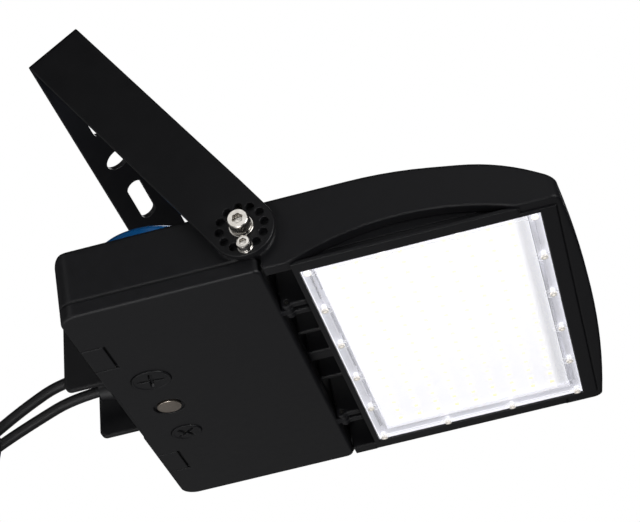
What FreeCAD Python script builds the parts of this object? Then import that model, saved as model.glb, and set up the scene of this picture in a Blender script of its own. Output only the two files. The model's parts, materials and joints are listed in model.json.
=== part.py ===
import FreeCAD, Part
import Sketcher
import math
import os
from types import SimpleNamespace
from FreeCAD import Placement, Rotation, Vector

# LED flood light: a die-cast head that tilts in a steel yoke, with a driver door and a twist-lock
# photocontrol. Millimetres, +Z up. The yoke's crossbar lies against a wall at X = 0. The origin is the
# centre of its mounting face, and +X points away from the wall. The head is drawn level in its own frame,
# with X from the door's rear edge towards the lens, Y across and Z up from the door's outer face, and is
# then placed at its rest tilt.

SIZES = {
    # yoke
    "strap_width": 42,
    "strap_thick": 4,
    "yoke_reach": 215.9,
    "toe_in": 13,
    "toe_end": 26,
    "bend_inside": 1,
    "ring_radius": 14.7,
    "centre_hole": 20,
    "slot_width": 13,
    "slot_length": 51,
    "slot_spacing": 124,
    # head
    "tilt_rest": 58.8,
    "pivot_before_gap": 6,
    "pivot_height": 29,
    "pad_height": 5,
    "housing_length": 332,
    "housing_width": 306,
    "housing_height": 48,
    "wall_thick": 3,
    "rear_round": 8,
    "corner_round": 12,
    "nose_round": 7,
    "bow_radius": 1467,
    "crown_from_front": 108,
    "crown_radius": 280,
    "brow_from_front": 40,
    "brow_drop": 13,
    "brow_radius": 130,
    "nose_height": 9.5,
    "nose_thick": 11,
    "lip_height": 1,
    "box_length": 134,
    "gap_length": 18,
    "pillar_inset": 1,
    "side_recess": 10,
    "arch_radius": 200,
    "arch_offset": 72,
    "arch_top": 14.8,
    "base_height": 9,
    "base_thick": 4,
    "cross_wall": 4,
    "sink_gap": 0.3,
    "fin_margin": 10,
    "fin_pitch": 12.4,
    "fin_thick": 3.5,
    "rib_bottom": 11,
    "rib_thick": 3,
    "main_rib": 12.5,
    "hood_width": 85,
    "hood_depth": 30.5,
    "hood_lean": 4,
    "hood_bottom": 8,
    "hood_wall": 4,
    "hood_round": 4.5,
    "platform_height": 9,
    # door
    "door_rim": 10,
    "door_end_gap": 0.5,
    "seam_gap": 1,
    "door_plate": 3,
    "door_round": 2,
    "tab_offset": 89.5,
    "tab_width": 33,
    "tab_length": 17.5,
    "tab_groove": 2,
    "relief_depth": 3.5,
    "hinge_from_box": 4.2,
    "hinge_height": 4,
    "hinge_offset": 90,
    "pin_radius": 1.5,
    "knuckle_radius": 3.7,
    "tongue_width": 5.4,
    "lug_thick": 5,
    "lug_bottom": 2,
    "stud_x": 31,
    "stud_offset": 45,
    "near_stud_head": 27,
    "far_stud_head": 21.5,
    "stud_boss": 16,
    "vent_head": 17,
    # lamp
    "lens_margin": 4,
    "lens_border": 21.5,
    "lens_side": 14.5,
    "lens_thick": 3,
    "screw_inset": 4,
    "board_thick": 1.6,
    "chip_pitch": 14.3,
    "chip_size": 3,
    "chip_thick": 0.8,
    "chip_clearance": 2.1,
    # driver box
    "driver_length": 232,
    "driver_height": 30,
    "driver_front_gap": 9,
    "driver_rear_gap": 5.3,
    "driver_shift": -4,
    "surge_length": 58,
    "surge_width": 36,
    "surge_height": 26,
    "terminal_length": 52,
    "terminal_width": 22,
    "terminal_height": 18,
    "wiring_gap": 7,
    # photocontrol
    "cap_x": 32.7,
    "cap_width": 84,
    "cap_height": 66,
    "socket_width": 66,
    "socket_body": 40,
    "socket_depth": 26,
    "socket_proud": 0.5,
    # cables
    "gland_offset": 14,
    "gland_drop": 16,
    "cable_width": 7.8,
    "coil_width": 86,
    "coil_gap": 0.8,
    "lead_length": 45,
    # fasteners
    "pivot_thread": 8,
    "pivot_head": 14,
    "lock_thread": 5,
    "lock_head": 9.3,
    "lock_clearance": 0.6,
    "lens_thread": 3,
    # fits
    "turning_gap": 0.3,
    "fit_gap": 0.08,
}

doc = FreeCAD.newDocument("flood_light")
sheet = doc.addObject("Spreadsheet::Sheet", "dims")
for row, (alias, number) in enumerate(SIZES.items(), start=1):
    sheet.set(f"A{row}", alias)
    sheet.set(f"B{row}", str(number))
    sheet.setAlias(f"B{row}", alias)
doc.recompute()


class Size:
    """A length that keeps the sheet expression it comes from beside its number."""

    def __init__(self, value, text):
        self.value = float(value)
        self.text = text

    def __add__(self, other):
        other = as_size(other)
        return Size(self.value + other.value, f"({self.text} + {other.text})")

    def __radd__(self, other):
        return as_size(other) + self

    def __sub__(self, other):
        other = as_size(other)
        return Size(self.value - other.value, f"({self.text} - {other.text})")

    def __rsub__(self, other):
        return as_size(other) - self

    def __mul__(self, other):
        other = as_size(other)
        return Size(self.value * other.value, f"({self.text} * {other.text})")

    def __rmul__(self, other):
        return as_size(other) * self

    def __truediv__(self, other):
        other = as_size(other)
        return Size(self.value / other.value, f"({self.text} / {other.text})")

    def __neg__(self):
        return Size(-self.value, f"(-1 * {self.text})")


def as_size(number):
    return number if isinstance(number, Size) else Size(number, repr(float(number)))


S = SimpleNamespace(**{name: Size(number, f"dims.{name}") for name, number in SIZES.items()})

# Places that several pieces share, worked out once.
half_width = S.housing_width / 2
arm_inside = half_width + S.pad_height
arm_outside = arm_inside + S.strap_thick
seam_top = S.door_rim + S.seam_gap
roof_inside = S.housing_height - S.wall_thick
gland_height = S.housing_height - S.gland_drop
platform_top = S.housing_height + S.platform_height
recess_side = half_width - S.side_recess
door_length = S.box_length - S.door_end_gap
frame_start = S.box_length + S.gap_length
sink_start = frame_start + S.cross_wall
nose_inside = S.housing_length - S.nose_thick
pivot = (S.box_length - S.pivot_before_gap, S.pivot_height)
hinge = (S.box_length + S.hinge_from_box, S.hinge_height)
arch = (frame_start + S.arch_offset, S.arch_top - S.arch_radius)
lens_start = frame_start + S.lens_margin
lens_end = S.housing_length - S.lens_border
half_lens = half_width - S.lens_side
lens_top = S.base_height - S.board_thick - S.chip_thick - S.chip_clearance
lens_bottom = lens_top - S.lens_thick
cap_bottom = platform_top + S.socket_proud
cable_radius = S.cable_width / 2
past = 2  # how far a cutting tool runs past the face it opens
SIDES = (-1, 1)
AXIS_TURN = {
    "X": Rotation(Vector(0, 1, 0), 90),
    "Y": Rotation(Vector(1, 0, 0), -90),
    "Z": Rotation(),
}
HEAD = Placement(
    Vector(S.yoke_reach.value, 0, 0), Rotation(Vector(0, 1, 0), -S.tilt_rest.value)
) * Placement(Vector(-pivot[0].value, 0, -pivot[1].value), Rotation())
YOKE = Placement()
sub_parts = []


def bind(item, prop, size):
    item.setExpression(prop, as_size(size).text)


def place_at(item, axis, x, y, z):
    item.Placement = Placement(Vector(), AXIS_TURN[axis])
    for letter, size in zip("xyz", (x, y, z)):
        bind(item, f"Placement.Base.{letter}", size)
    return item


def box(x, y, z):
    """A block between two places on each axis."""
    item = doc.addObject("Part::Box", "block")
    for prop, (low, high) in zip(("Length", "Width", "Height"), (x, y, z)):
        bind(item, prop, as_size(high) - low)
    return place_at(item, "Z", x[0], y[0], z[0])


def along(axis, item, centre, start):
    a, b = centre
    spots = {"X": (start, a, b), "Y": (a, start, b), "Z": (a, b, start)}
    return place_at(item, axis, *spots[axis])


def rod(axis, radius, centre, start, end):
    """A cylinder along an axis, between two places on it; centre holds its other two coordinates."""
    item = doc.addObject("Part::Cylinder", "rod")
    bind(item, "Radius", radius)
    bind(item, "Height", as_size(end) - start)
    return along(axis, item, centre, start)


def cone(axis, start_radius, end_radius, centre, start, end):
    item = doc.addObject("Part::Cone", "cone")
    bind(item, "Radius1", start_radius)
    bind(item, "Radius2", end_radius)
    bind(item, "Height", as_size(end) - start)
    return along(axis, item, centre, start)


def hexagon(axis, across_flats, centre, start, end):
    item = doc.addObject("Part::Prism", "hexagon")
    item.Polygon = 6
    bind(item, "Circumradius", as_size(across_flats) / math.sqrt(3))
    bind(item, "Height", as_size(end) - start)
    along(axis, item, centre, start)
    item.Placement.Rotation = AXIS_TURN[axis] * Rotation(Vector(0, 0, 1), 30)
    return item


def fuse(*items):
    if len(items) == 1:
        return items[0]
    item = doc.addObject("Part::MultiFuse", "joined")
    item.Shapes = list(items)
    return item


def cut(base, *tools):
    item = doc.addObject("Part::Cut", "pierced")
    item.Base = base
    item.Tool = fuse(*tools)
    return item


def common(*items):
    item = doc.addObject("Part::MultiCommon", "shared")
    item.Shapes = list(items)
    return item


def span(side, near, far):
    """The range on Y between two distances from the middle, on one side of it."""
    return (near, far) if side > 0 else (-as_size(far), -as_size(near))


def side_rod(side, radius, centre, near, far):
    return rod("Y", radius, centre, *span(side, near, far))


def ring(axis, outer, inner, centre, start, end):
    return cut(
        rod(axis, outer, centre, start, end),
        rod(axis, inner, centre, as_size(start) - past, as_size(end) + past),
    )


def side_ring(side, outer, inner, centre, near, far):
    return ring("Y", outer, inner, centre, *span(side, near, far))


def sub_part(label, place, *items):
    """Gathers the solids of one named piece and puts them where they belong."""
    item = doc.addObject("Part::Compound", label)
    item.Label = label
    item.Links = list(items)
    item.Placement = place
    sub_parts.append(item)
    return item


def outline(body, role, corners):
    """A sketch through corners (u, v) or (u, v, radius), each bound to the sheet."""
    plane = next(f for f in body.Origin.OriginFeatures if f.Role == role)
    sketch = body.newObject("Sketcher::SketchObject", "outline")
    sketch.AttachmentSupport = [(plane, "")]
    sketch.MapMode = "FlatFace"
    spots = [Vector(as_size(c[0]).value, as_size(c[1]).value, 0) for c in corners]
    count = len(corners)
    leave = []
    arrive = []
    arcs = []
    for i, corner in enumerate(corners):
        here = spots[i]
        inward = (spots[i - 1] - here).normalize()
        onward = (spots[(i + 1) % count] - here).normalize()
        if len(corner) == 2:
            leave.append(here)
            arrive.append(here)
            arcs.append(None)
            continue
        radius = as_size(corner[2]).value
        half = inward.getAngle(onward) / 2
        reach = radius / math.tan(half)
        arrive.append(here + inward * reach)
        leave.append(here + onward * reach)
        middle = (inward + onward).normalize()
        arcs.append((here + middle * (radius / math.sin(half)), radius))
    lines = [
        sketch.addGeometry(Part.LineSegment(leave[i], arrive[(i + 1) % count]), False) for i in range(count)
    ]
    for i, corner in enumerate(corners):
        before = lines[i - 1]
        after = lines[i]
        if arcs[i] is None:
            sketch.addConstraint(Sketcher.Constraint("Coincident", before, 2, after, 1))
            pin = (after, 1)
        else:
            centre, radius = arcs[i]
            first, last = (
                math.atan2(p.y - centre.y, p.x - centre.x) for p in (arrive[i], leave[i])
            )
            turns_left = (last - first) % (2 * math.pi) < math.pi
            low, high = (first, last) if turns_left else (last, first)
            circle = Part.Circle(centre, Vector(0, 0, 1), radius)
            arc = sketch.addGeometry(Part.ArcOfCircle(circle, low, low + (high - low) % (2 * math.pi)), False)
            start, end = (1, 2) if turns_left else (2, 1)
            sketch.addConstraint(Sketcher.Constraint("Tangent", before, 2, arc, start))
            sketch.addConstraint(Sketcher.Constraint("Tangent", arc, end, after, 1))
            size = sketch.addConstraint(Sketcher.Constraint("Radius", arc, radius))
            bind(sketch, f"Constraints[{size}]", corner[2])
            mark = sketch.addGeometry(Part.Point(spots[i]), True)
            sketch.addConstraint(Sketcher.Constraint("PointOnObject", mark, 1, before))
            sketch.addConstraint(Sketcher.Constraint("PointOnObject", mark, 1, after))
            pin = (mark, 1)
        for kind, size, value in (("DistanceX", corner[0], spots[i].x), ("DistanceY", corner[1], spots[i].y)):
            held = sketch.addConstraint(Sketcher.Constraint(kind, -1, 1, *pin, value))
            bind(sketch, f"Constraints[{held}]", size)
    return sketch


def padded(name, role, corners, length, both_ways):
    """A body padded from one outline, to one side of its plane or to both."""
    body = doc.addObject("PartDesign::Body", name)
    sketch = outline(body, role, corners)
    pad = body.newObject("PartDesign::Pad", "pad")
    pad.Profile = sketch
    pad.SideType = "Symmetric" if both_ways else "One side"
    bind(pad, "Length", length)
    return body


def plate(name, x, y, z, rear_round, front_round):
    """A flat block with upright rounded corners, between two places on each axis."""
    body = padded(
        name,
        "XY_Plane",
        [
            (x[0], y[0], rear_round),
            (x[1], y[0], front_round),
            (x[1], y[1], front_round),
            (x[0], y[1], rear_round),
        ],
        as_size(z[1]) - z[0],
        False,
    )
    bind(body, "Placement.Base.z", z[0])
    return body


def rounded_edges(base, radius, wanted):
    """Rounds the edges of a finished shape that a test on their middle point and direction picks."""
    doc.recompute()
    chosen = []
    for index, edge in enumerate(base.Shape.Edges, start=1):
        first, last = edge.Vertexes[0].Point, edge.Vertexes[-1].Point
        if wanted(edge.CenterOfMass, last - first):
            chosen.append((index, radius.value, radius.value))
    item = doc.addObject("Part::Fillet", "rounded")
    item.Base = base
    item.Edges = chosen
    return item


def make_yoke():
    """A strap whose arms lean in towards the crossbar, and run straight beside the head at the pivot."""
    end = S.yoke_reach + S.strap_width
    straight_from = S.yoke_reach - S.toe_end
    lean = S.toe_in / straight_from
    corner_outside = arm_outside - S.toe_in
    corner_inside = corner_outside + lean * S.strap_thick - S.strap_thick
    strap = padded(
        "strap",
        "XY_Plane",
        [
            (0, -corner_outside, S.bend_inside + S.strap_thick),
            (straight_from, -arm_outside),
            (end, -arm_outside),
            (end, -arm_inside),
            (straight_from, -arm_inside),
            (S.strap_thick, -corner_inside, S.bend_inside),
            (S.strap_thick, corner_inside, S.bend_inside),
            (straight_from, arm_inside),
            (end, arm_inside),
            (end, arm_outside),
            (straight_from, arm_outside),
            (0, corner_outside, S.bend_inside + S.strap_thick),
        ],
        S.strap_width,
        True,
    )
    half_strap = S.strap_width / 2
    across = (-arm_outside - past, arm_outside + past)
    envelope = fuse(
        box((-past, S.yoke_reach), across, (-half_strap, half_strap)),
        rod("Y", half_strap, (S.yoke_reach, 0), *across),
    )
    holes = [rod("Y", S.pivot_thread / 2 + S.turning_gap, (S.yoke_reach, 0), *across)]
    for step in range(12):
        angle = math.radians(30 * step)
        spot = (S.yoke_reach + S.ring_radius * math.cos(angle), S.ring_radius * math.sin(angle))
        holes.append(rod("Y", (S.lock_thread + S.lock_clearance) / 2, spot, *across))
    through = (-past, S.strap_thick + past)
    holes.append(rod("X", S.centre_hole / 2, (0, 0), *through))
    half_slot = S.slot_width / 2
    straight = S.slot_length / 2 - half_slot
    for side in SIDES:
        middle = S.slot_spacing * (side / 2)
        holes.append(box(through, (middle - straight, middle + straight), (-half_slot, half_slot)))
        for end_of_slot in SIDES:
            holes.append(rod("X", half_slot, (middle + straight * end_of_slot, 0), *through))
    sub_part("yoke_bracket", YOKE, cut(common(strap, envelope), *holes))


# Washers, screws and inserts at the two pivots. Heights are stacked outwards from the arm.
PIVOT_WASHER = 1.6
PIVOT_SPRING = 1.8
PIVOT_HEAD_HEIGHT = 8
PIVOT_GRIP = 13
LOCK_WASHER = 1
LOCK_SPRING = 1.2
LOCK_HEAD_HEIGHT = 5
LOCK_ANGLE = 330
INSERT_RADIUS = 3.3
INSERT_LENGTH = 4.5


def socket_screw(side, centre, thread, head, head_height, tip, seat):
    """A socket head screw along Y: tip is where its thread ends and seat is where its head sits."""
    socket = head * 0.46
    depth = head_height * 0.5
    top = seat + head_height
    return cut(
        fuse(
            side_rod(side, head / 2, centre, seat, top),
            side_rod(side, thread / 2, centre, tip, seat + depth * 0.5),
        ),
        hexagon("Y", socket, centre, *span(side, top - depth, top + past)),
    )


def make_pivots():
    spring_seat = arm_outside + PIVOT_WASHER
    head_seat = spring_seat + PIVOT_SPRING
    boss_end = half_width - S.wall_thick - PIVOT_GRIP
    hole = S.pivot_thread / 2 + S.fit_gap
    bolts = []
    springs = []
    washers = []
    for side in SIDES:
        tip = boss_end + past
        screw_sizes = (S.pivot_thread, S.pivot_head, PIVOT_HEAD_HEIGHT)
        bolts.append(socket_screw(side, pivot, *screw_sizes, tip, head_seat))
        springs.append(side_ring(side, S.pivot_head / 2 + 0.2, hole, pivot, spring_seat, head_seat))
        washers.append(side_ring(side, S.pivot_thread, hole, pivot, arm_outside, spring_seat))
    sub_part("pivot_bolts", HEAD, *bolts)
    sub_part("pivot_spring_washers", HEAD, *springs)
    sub_part("pivot_washers", HEAD, *washers)


def lock_spot():
    """The hole of the index ring that the lock bolt sits in, in the yoke's frame."""
    angle = math.radians(LOCK_ANGLE)
    return (S.yoke_reach + S.ring_radius * math.cos(angle), S.ring_radius * math.sin(angle))


def make_locks():
    spot = lock_spot()
    spring_seat = arm_outside + LOCK_WASHER
    head_seat = spring_seat + LOCK_SPRING
    hole = S.lock_thread / 2 + S.fit_gap
    bolts = []
    springs = []
    washers = []
    for side in SIDES:
        screw_sizes = (S.lock_thread, S.lock_head, LOCK_HEAD_HEIGHT)
        bolts.append(socket_screw(side, spot, *screw_sizes, arm_inside, head_seat))
        springs.append(side_ring(side, S.lock_head / 2, hole, spot, spring_seat, head_seat))
        washers.append(side_ring(side, S.lock_thread, hole, spot, arm_outside, spring_seat))
    sub_part("lock_bolts", YOKE, *bolts)
    sub_part("lock_spring_washers", YOKE, *springs)
    sub_part("lock_washers", YOKE, *washers)


def insert_spots():
    """Where the threaded inserts stand in the head: behind the lock hole, and behind the hole opposite."""
    angle = math.radians(LOCK_ANGLE - SIZES["tilt_rest"])
    spots = []
    for way in SIDES:
        along_head = S.ring_radius * (way * math.cos(angle))
        up_head = S.ring_radius * (way * math.sin(angle))
        spots.append((pivot[0] + along_head, pivot[1] + up_head))
    return spots


def make_inserts():
    inserts = []
    for side in SIDES:
        for spot in insert_spots():
            inner = arm_inside - INSERT_LENGTH
            inserts.append(side_ring(side, INSERT_RADIUS, S.lock_thread / 2, spot, inner, arm_inside))
    sub_part("lock_inserts", HEAD, *inserts)


# Casting details.
STUD_BORE = 5
STUD_BORE_DEPTH = 8
STUD_BOSS_GAP = 2
GLAND_THREAD = 8
GLAND_FLATS = 19
RIB_TOP_DROP = 6
SIDE_SLOT_WALL = 4
PAD_INSET = 2
PIVOT_BOSS = 11.2
PLATFORM_ROOT = 2
SOCKET_SEAT = 4
boss_bottom = seam_top + STUD_BOSS_GAP


def housing_block():
    """The whole outside of the casting: its side view, its plan and its bowed front, in one block."""
    front = S.housing_length
    roof = S.housing_height
    brow = front - S.brow_from_front
    side_view = padded(
        "side_view",
        "XZ_Plane",
        [
            (0, seam_top),
            (0, roof, S.rear_round),
            (front - S.crown_from_front, roof, S.crown_radius),
            (brow, roof - S.brow_drop, S.brow_radius),
            (front, S.nose_height),
            (front, S.lip_height),
            (S.box_length + S.pillar_inset, S.lip_height),
            (S.box_length + S.pillar_inset, seam_top),
        ],
        S.housing_width,
        True,
    )
    plan = padded(
        "plan",
        "XY_Plane",
        [
            (0, -half_width, S.corner_round),
            (front, -half_width),
            (front, half_width),
            (0, half_width, S.corner_round),
        ],
        roof + past,
        False,
    )
    bow = rod("Z", S.bow_radius, (front - S.bow_radius, 0), -past, roof + past)
    block = common(side_view, plan, bow)

    def front_corner(middle, direction):
        upright = abs(direction.z) > 0.9 * direction.Length and direction.Length > 1
        return upright and middle.x > front.value - 20 and abs(middle.y) > half_width.value - 2

    return rounded_edges(block, S.nose_round, front_corner)


def side_slots():
    """A long hollow down the inside of each side wall."""
    floor = S.arch_top + S.base_thick
    slots = []
    for side in SIDES:
        y = span(side, recess_side - past, half_width - SIDE_SLOT_WALL)
        slots.append(box((sink_start, nose_inside - S.fin_margin), y, (floor, S.housing_height + past)))
    return slots


def make_heat_sink(block):
    """The finned plate that fills the lamp opening and carries the board on its underside."""
    edge = recess_side - S.sink_gap
    front = nose_inside - S.sink_gap
    floor = S.base_height + S.base_thick
    top = S.housing_height + past
    slab = common(block, box((sink_start, front), (-edge, edge), (S.base_height, top)))
    count = 2 * int((edge.value - SIZES["fin_thick"]) / SIZES["fin_pitch"])
    half_slot = (S.fin_pitch - S.fin_thick) / 2
    slots = []
    for i in range(count):
        middle = S.fin_pitch * (i - (count - 1) / 2)
        y = (middle - half_slot, middle + half_slot)
        slots.append(box((sink_start - past, front - S.fin_margin), y, (floor, top)))
    hole = S.lens_thread / 2 + S.fit_gap
    hole_end = S.base_height + LENS_SCREW_GRIP + S.turning_gap
    holes = [rod("Z", hole, spot, S.base_height - past, hole_end) for spot in lens_screw_spots()]
    sub_part("heat_sink", HEAD, cut(slab, *slots, *holes))


def hinge_lugs():
    """Pairs of plates across the air gap that come down to the hinge axis."""
    lugs = []
    inner = S.tongue_width / 2 + S.turning_gap
    x = (hinge[0] - S.knuckle_radius, hinge[0] + S.knuckle_radius)
    rib_top = S.housing_height - RIB_TOP_DROP
    for side in SIDES:
        for way in SIDES:
            near = S.hinge_offset * side + inner * way
            far = S.hinge_offset * side + (inner + S.lug_thick) * way
            y = (near, far) if way > 0 else (far, near)
            lugs.append(box((S.box_length - past / 2, frame_start + past / 2), y, (seam_top, rib_top)))
            lugs.append(box(x, y, (hinge[1], seam_top + past)))
            lugs.append(box((hinge[0], frame_start - FRAME_GAP), y, (S.lug_bottom, seam_top + past)))
            lugs.append(rod("Y", S.knuckle_radius, hinge, *y))
    return lugs


def pivot_pad(side):
    """A round pad against the arm, rooted in the side wall above the seam and clear of the door below it."""
    radius = S.strap_width / 2 - PAD_INSET
    clear = half_width + S.turning_gap
    x = (pivot[0] - S.strap_width, pivot[0] + S.strap_width)
    above_seam = box(x, span(side, half_width - past, arm_inside), (seam_top, roof_inside))
    root = common(side_rod(side, radius, pivot, half_width - 1, clear + 1), above_seam)
    return [side_rod(side, radius, pivot, clear, arm_inside), root]


def hood():
    """The raised platform that carries the photocontrol, and its overhang over the cable glands.

    The overhang leans forward as it rises, and is open to the rear and below.
    """
    half_hood = S.hood_width / 2
    rear = -S.hood_depth
    overhang = padded(
        "overhang",
        "XZ_Plane",
        [
            (-S.door_end_gap, S.hood_bottom),
            (rear, S.hood_bottom, S.hood_round),
            (rear + S.hood_lean, platform_top),
            (S.cap_x, platform_top),
            (S.cap_x, S.housing_height - PLATFORM_ROOT),
            (PLATFORM_ROOT, S.housing_height - PLATFORM_ROOT),
            (PLATFORM_ROOT, seam_top),
            (-S.door_end_gap, seam_top),
        ],
        S.hood_width,
        True,
    )
    round_end = rod("Z", half_hood, (S.cap_x, 0), S.housing_height - PLATFORM_ROOT, platform_top)
    channel = box(
        (rear - past, 0),
        (S.hood_wall - half_hood, half_hood - S.hood_wall),
        (S.hood_bottom - past, platform_top - S.hood_wall),
    )
    return cut(fuse(overhang, round_end), channel)


def make_housing():
    roof = S.housing_height
    inside = half_width - S.wall_thick
    box_end = S.box_length - S.wall_thick
    inner_round = S.corner_round - S.wall_thick
    hollows = [
        plate(
            "driver_room",
            (S.wall_thick, box_end),
            (-inside, inside),
            (S.door_rim, roof_inside),
            inner_round,
            inner_round / 3,
        ),
        box((S.box_length, frame_start), (-recess_side, recess_side), (-past, roof + past)),
        box((sink_start, nose_inside), (-recess_side, recess_side), (-past, roof + past)),
        box((frame_start - past, nose_inside), (-recess_side, recess_side), (-past, S.base_height)),
    ]
    hollows += side_slots()
    for side in SIDES:
        hollows.append(side_rod(side, S.arch_radius, arch, recess_side, half_width + past))
    block = housing_block()
    shell = cut(block, *hollows)

    added = [hood()]
    rib_x = (S.box_length - past / 2, frame_start + past / 2)
    rib_z = (S.rib_bottom, roof - RIB_TOP_DROP)
    third_fin = S.fin_pitch * 3
    for offset, thick in ((as_size(0), S.main_rib), (third_fin, S.rib_thick), (-third_fin, S.rib_thick)):
        added.append(box(rib_x, (offset - thick / 2, offset + thick / 2), rib_z))
    added += hinge_lugs()
    boss_end = inside - PIVOT_GRIP
    for side in SIDES:
        added += pivot_pad(side)
        added.append(side_rod(side, PIVOT_BOSS, pivot, boss_end, inside + 1))
        stud = (S.stud_x, S.stud_offset * side)
        added.append(rod("Z", S.stud_boss / 2, stud, boss_bottom, roof_inside + 1))

    socket = (S.cap_x, 0)
    opened = [
        rod("Z", S.socket_body / 2 + S.turning_gap, socket, roof_inside - past, platform_top + past),
        rod("Z", S.socket_width / 2 + S.turning_gap, socket, platform_top - SOCKET_SEAT, platform_top + past),
    ]
    for side in SIDES:
        hole_end = arm_inside + past
        opened.append(side_rod(side, S.pivot_thread / 2 + S.fit_gap, pivot, boss_end - past, hole_end))
        for spot in insert_spots():
            insert_end = arm_inside - INSERT_LENGTH
            opened.append(side_rod(side, INSERT_RADIUS + S.fit_gap, spot, insert_end, hole_end))
        stud = (S.stud_x, S.stud_offset * side)
        opened.append(rod("Z", STUD_BORE, stud, boss_bottom - past, boss_bottom + STUD_BORE_DEPTH))
        gland = (S.gland_offset * side, gland_height)
        opened.append(rod("X", GLAND_THREAD + S.fit_gap, gland, -past, S.wall_thick + past))
        pin_reach = S.tongue_width / 2 + S.lug_thick + past
        pin = (S.hinge_offset * side - pin_reach, S.hinge_offset * side + pin_reach)
        opened.append(rod("Y", S.pin_radius + S.fit_gap, hinge, *pin))
    sub_part("housing", HEAD, cut(fuse(shell, *added), *opened))
    make_heat_sink(block)


# Driver door details.
STUD_RECESS = 1.6
STUD_SHAFT = 3.5
STUD_GRIP = 3
STUD_PROUD = 1
SLOT_WIDTH = 2.2
SLOT_DEPTH = 1.4
VENT_RECESS = 1.5
VENT_PROUD = 0.5
VENT_SHANK = 6
VENT_NUT = 9
VENT_NUT_HEIGHT = 3
VENT_RING = 2.5
RELIEF_SKIN = 0.5
TAB_SIDE_GAP = 1.1
TAB_FRONT_GAP = 1.8
STUD_HEADS = {-1: S.near_stud_head, 1: S.far_stud_head}


def tab_groove(side):
    """A groove round three sides of a latch tab at the door's rear edge."""
    middle = S.tab_offset * side
    half_tab = S.tab_width / 2
    half_inside = half_tab - TAB_SIDE_GAP
    depth = (-past, S.tab_groove)
    return cut(
        box((-past, S.tab_length), (middle - half_tab, middle + half_tab), depth),
        box((-2 * past, S.tab_length - TAB_FRONT_GAP), (middle - half_inside, middle + half_inside), depth),
    )


def make_door():
    end = door_length
    slab = plate(
        "door_slab", (0, end), (-half_width, half_width), (0, S.door_rim), S.corner_round, S.corner_round / 2
    )

    def outer_edge(middle, direction):
        return abs(middle.z) < 0.01

    softened = rounded_edges(slab, S.door_round, outer_edge)
    rim = S.wall_thick
    inner_round = S.corner_round - rim
    tray = plate(
        "door_tray",
        (rim, end - rim),
        (rim - half_width, half_width - rim),
        (S.door_plate, S.door_rim + past),
        inner_round,
        inner_round / 2,
    )
    relief = padded(
        "door_relief",
        "XY_Plane",
        [
            (-past, -S.hood_width / 2),
            (0, -S.hood_width / 2),
            (S.relief_depth, -S.hood_width / 3),
            (S.relief_depth, S.hood_width / 3),
            (0, S.hood_width / 2),
            (-past, S.hood_width / 2),
        ],
        S.door_plate - RELIEF_SKIN,
        False,
    )
    cuts = [tray, relief]
    tongues = []
    pin_holes = []
    through = (-past, S.door_plate + past)
    for side in SIDES:
        cuts.append(tab_groove(side))
        stud = (S.stud_x, S.stud_offset * side)
        cuts.append(rod("Z", STUD_HEADS[side] / 2 + S.turning_gap, stud, -past, STUD_RECESS))
        cuts.append(rod("Z", STUD_SHAFT + S.turning_gap, stud, *through))
        half_tongue = S.tongue_width / 2
        y = (S.hinge_offset * side - half_tongue, S.hinge_offset * side + half_tongue)
        height = (hinge[1] - S.knuckle_radius, hinge[1] + S.knuckle_radius)
        tongues.append(box((end - rim / 2, hinge[0]), y, height))
        tongues.append(rod("Y", S.knuckle_radius, hinge, *y))
        pin_holes.append(rod("Y", S.pin_radius + S.fit_gap, hinge, y[0] - past, y[1] + past))
    vent = (S.stud_x, 0)
    cuts.append(rod("Z", S.vent_head / 2 + VENT_RING, vent, -past, VENT_RECESS))
    cuts.append(rod("Z", VENT_SHANK + S.fit_gap, vent, *through))
    sub_part("driver_door", HEAD, cut(fuse(cut(softened, *cuts), *tongues), *pin_holes))


def make_hinge_pins():
    pins = []
    for side in SIDES:
        reach = S.tongue_width / 2 + S.turning_gap + S.lug_thick
        y = (S.hinge_offset * side - reach, S.hinge_offset * side + reach)
        pins.append(rod("Y", S.pin_radius, hinge, *y))
    sub_part("hinge_pins", HEAD, *pins)


def make_door_gasket():
    inset = 0.8
    width = 1.6
    far = door_length - inset
    edge = half_width - inset
    outer_round = S.corner_round - inset
    inner_round = outer_round - width
    outer = plate(
        "gasket_outside", (inset, far), (-edge, edge), (S.door_rim, seam_top), outer_round, outer_round / 2
    )
    inner = plate(
        "gasket_inside",
        (inset + width, far - width),
        (width - edge, edge - width),
        (S.door_rim - past, seam_top + past),
        inner_round,
        inner_round / 2,
    )
    sub_part("door_gasket", HEAD, cut(outer, inner))


def make_door_screws():
    for label, side in (("near_door_screw", -1), ("far_door_screw", 1)):
        spot = (S.stud_x, S.stud_offset * side)
        head_width = STUD_HEADS[side]
        head = rod("Z", head_width / 2, spot, -STUD_PROUD, STUD_RECESS)
        shaft = rod("Z", STUD_SHAFT, spot, STUD_RECESS / 2, boss_bottom + STUD_GRIP)
        half_slot = SLOT_WIDTH / 2
        arm = head_width * 0.36
        deep = (-STUD_PROUD - past, SLOT_DEPTH - STUD_PROUD)
        x, y = spot
        slots = [
            box((x - arm, x + arm), (y - half_slot, y + half_slot), deep),
            box((x - half_slot, x + half_slot), (y - arm, y + arm), deep),
        ]
        sub_part(label, HEAD, cut(fuse(head, shaft), *slots))


def make_vent():
    spot = (S.stud_x, 0)
    nut_top = S.door_plate + VENT_NUT_HEIGHT
    head = rod("Z", S.vent_head / 2, spot, -VENT_PROUD, VENT_RECESS)
    shank = rod("Z", VENT_SHANK, spot, VENT_RECESS / 2, nut_top)
    nut = rod("Z", VENT_NUT, spot, S.door_plate, nut_top)
    sub_part("breather_vent", HEAD, fuse(head, shank, nut))


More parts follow.
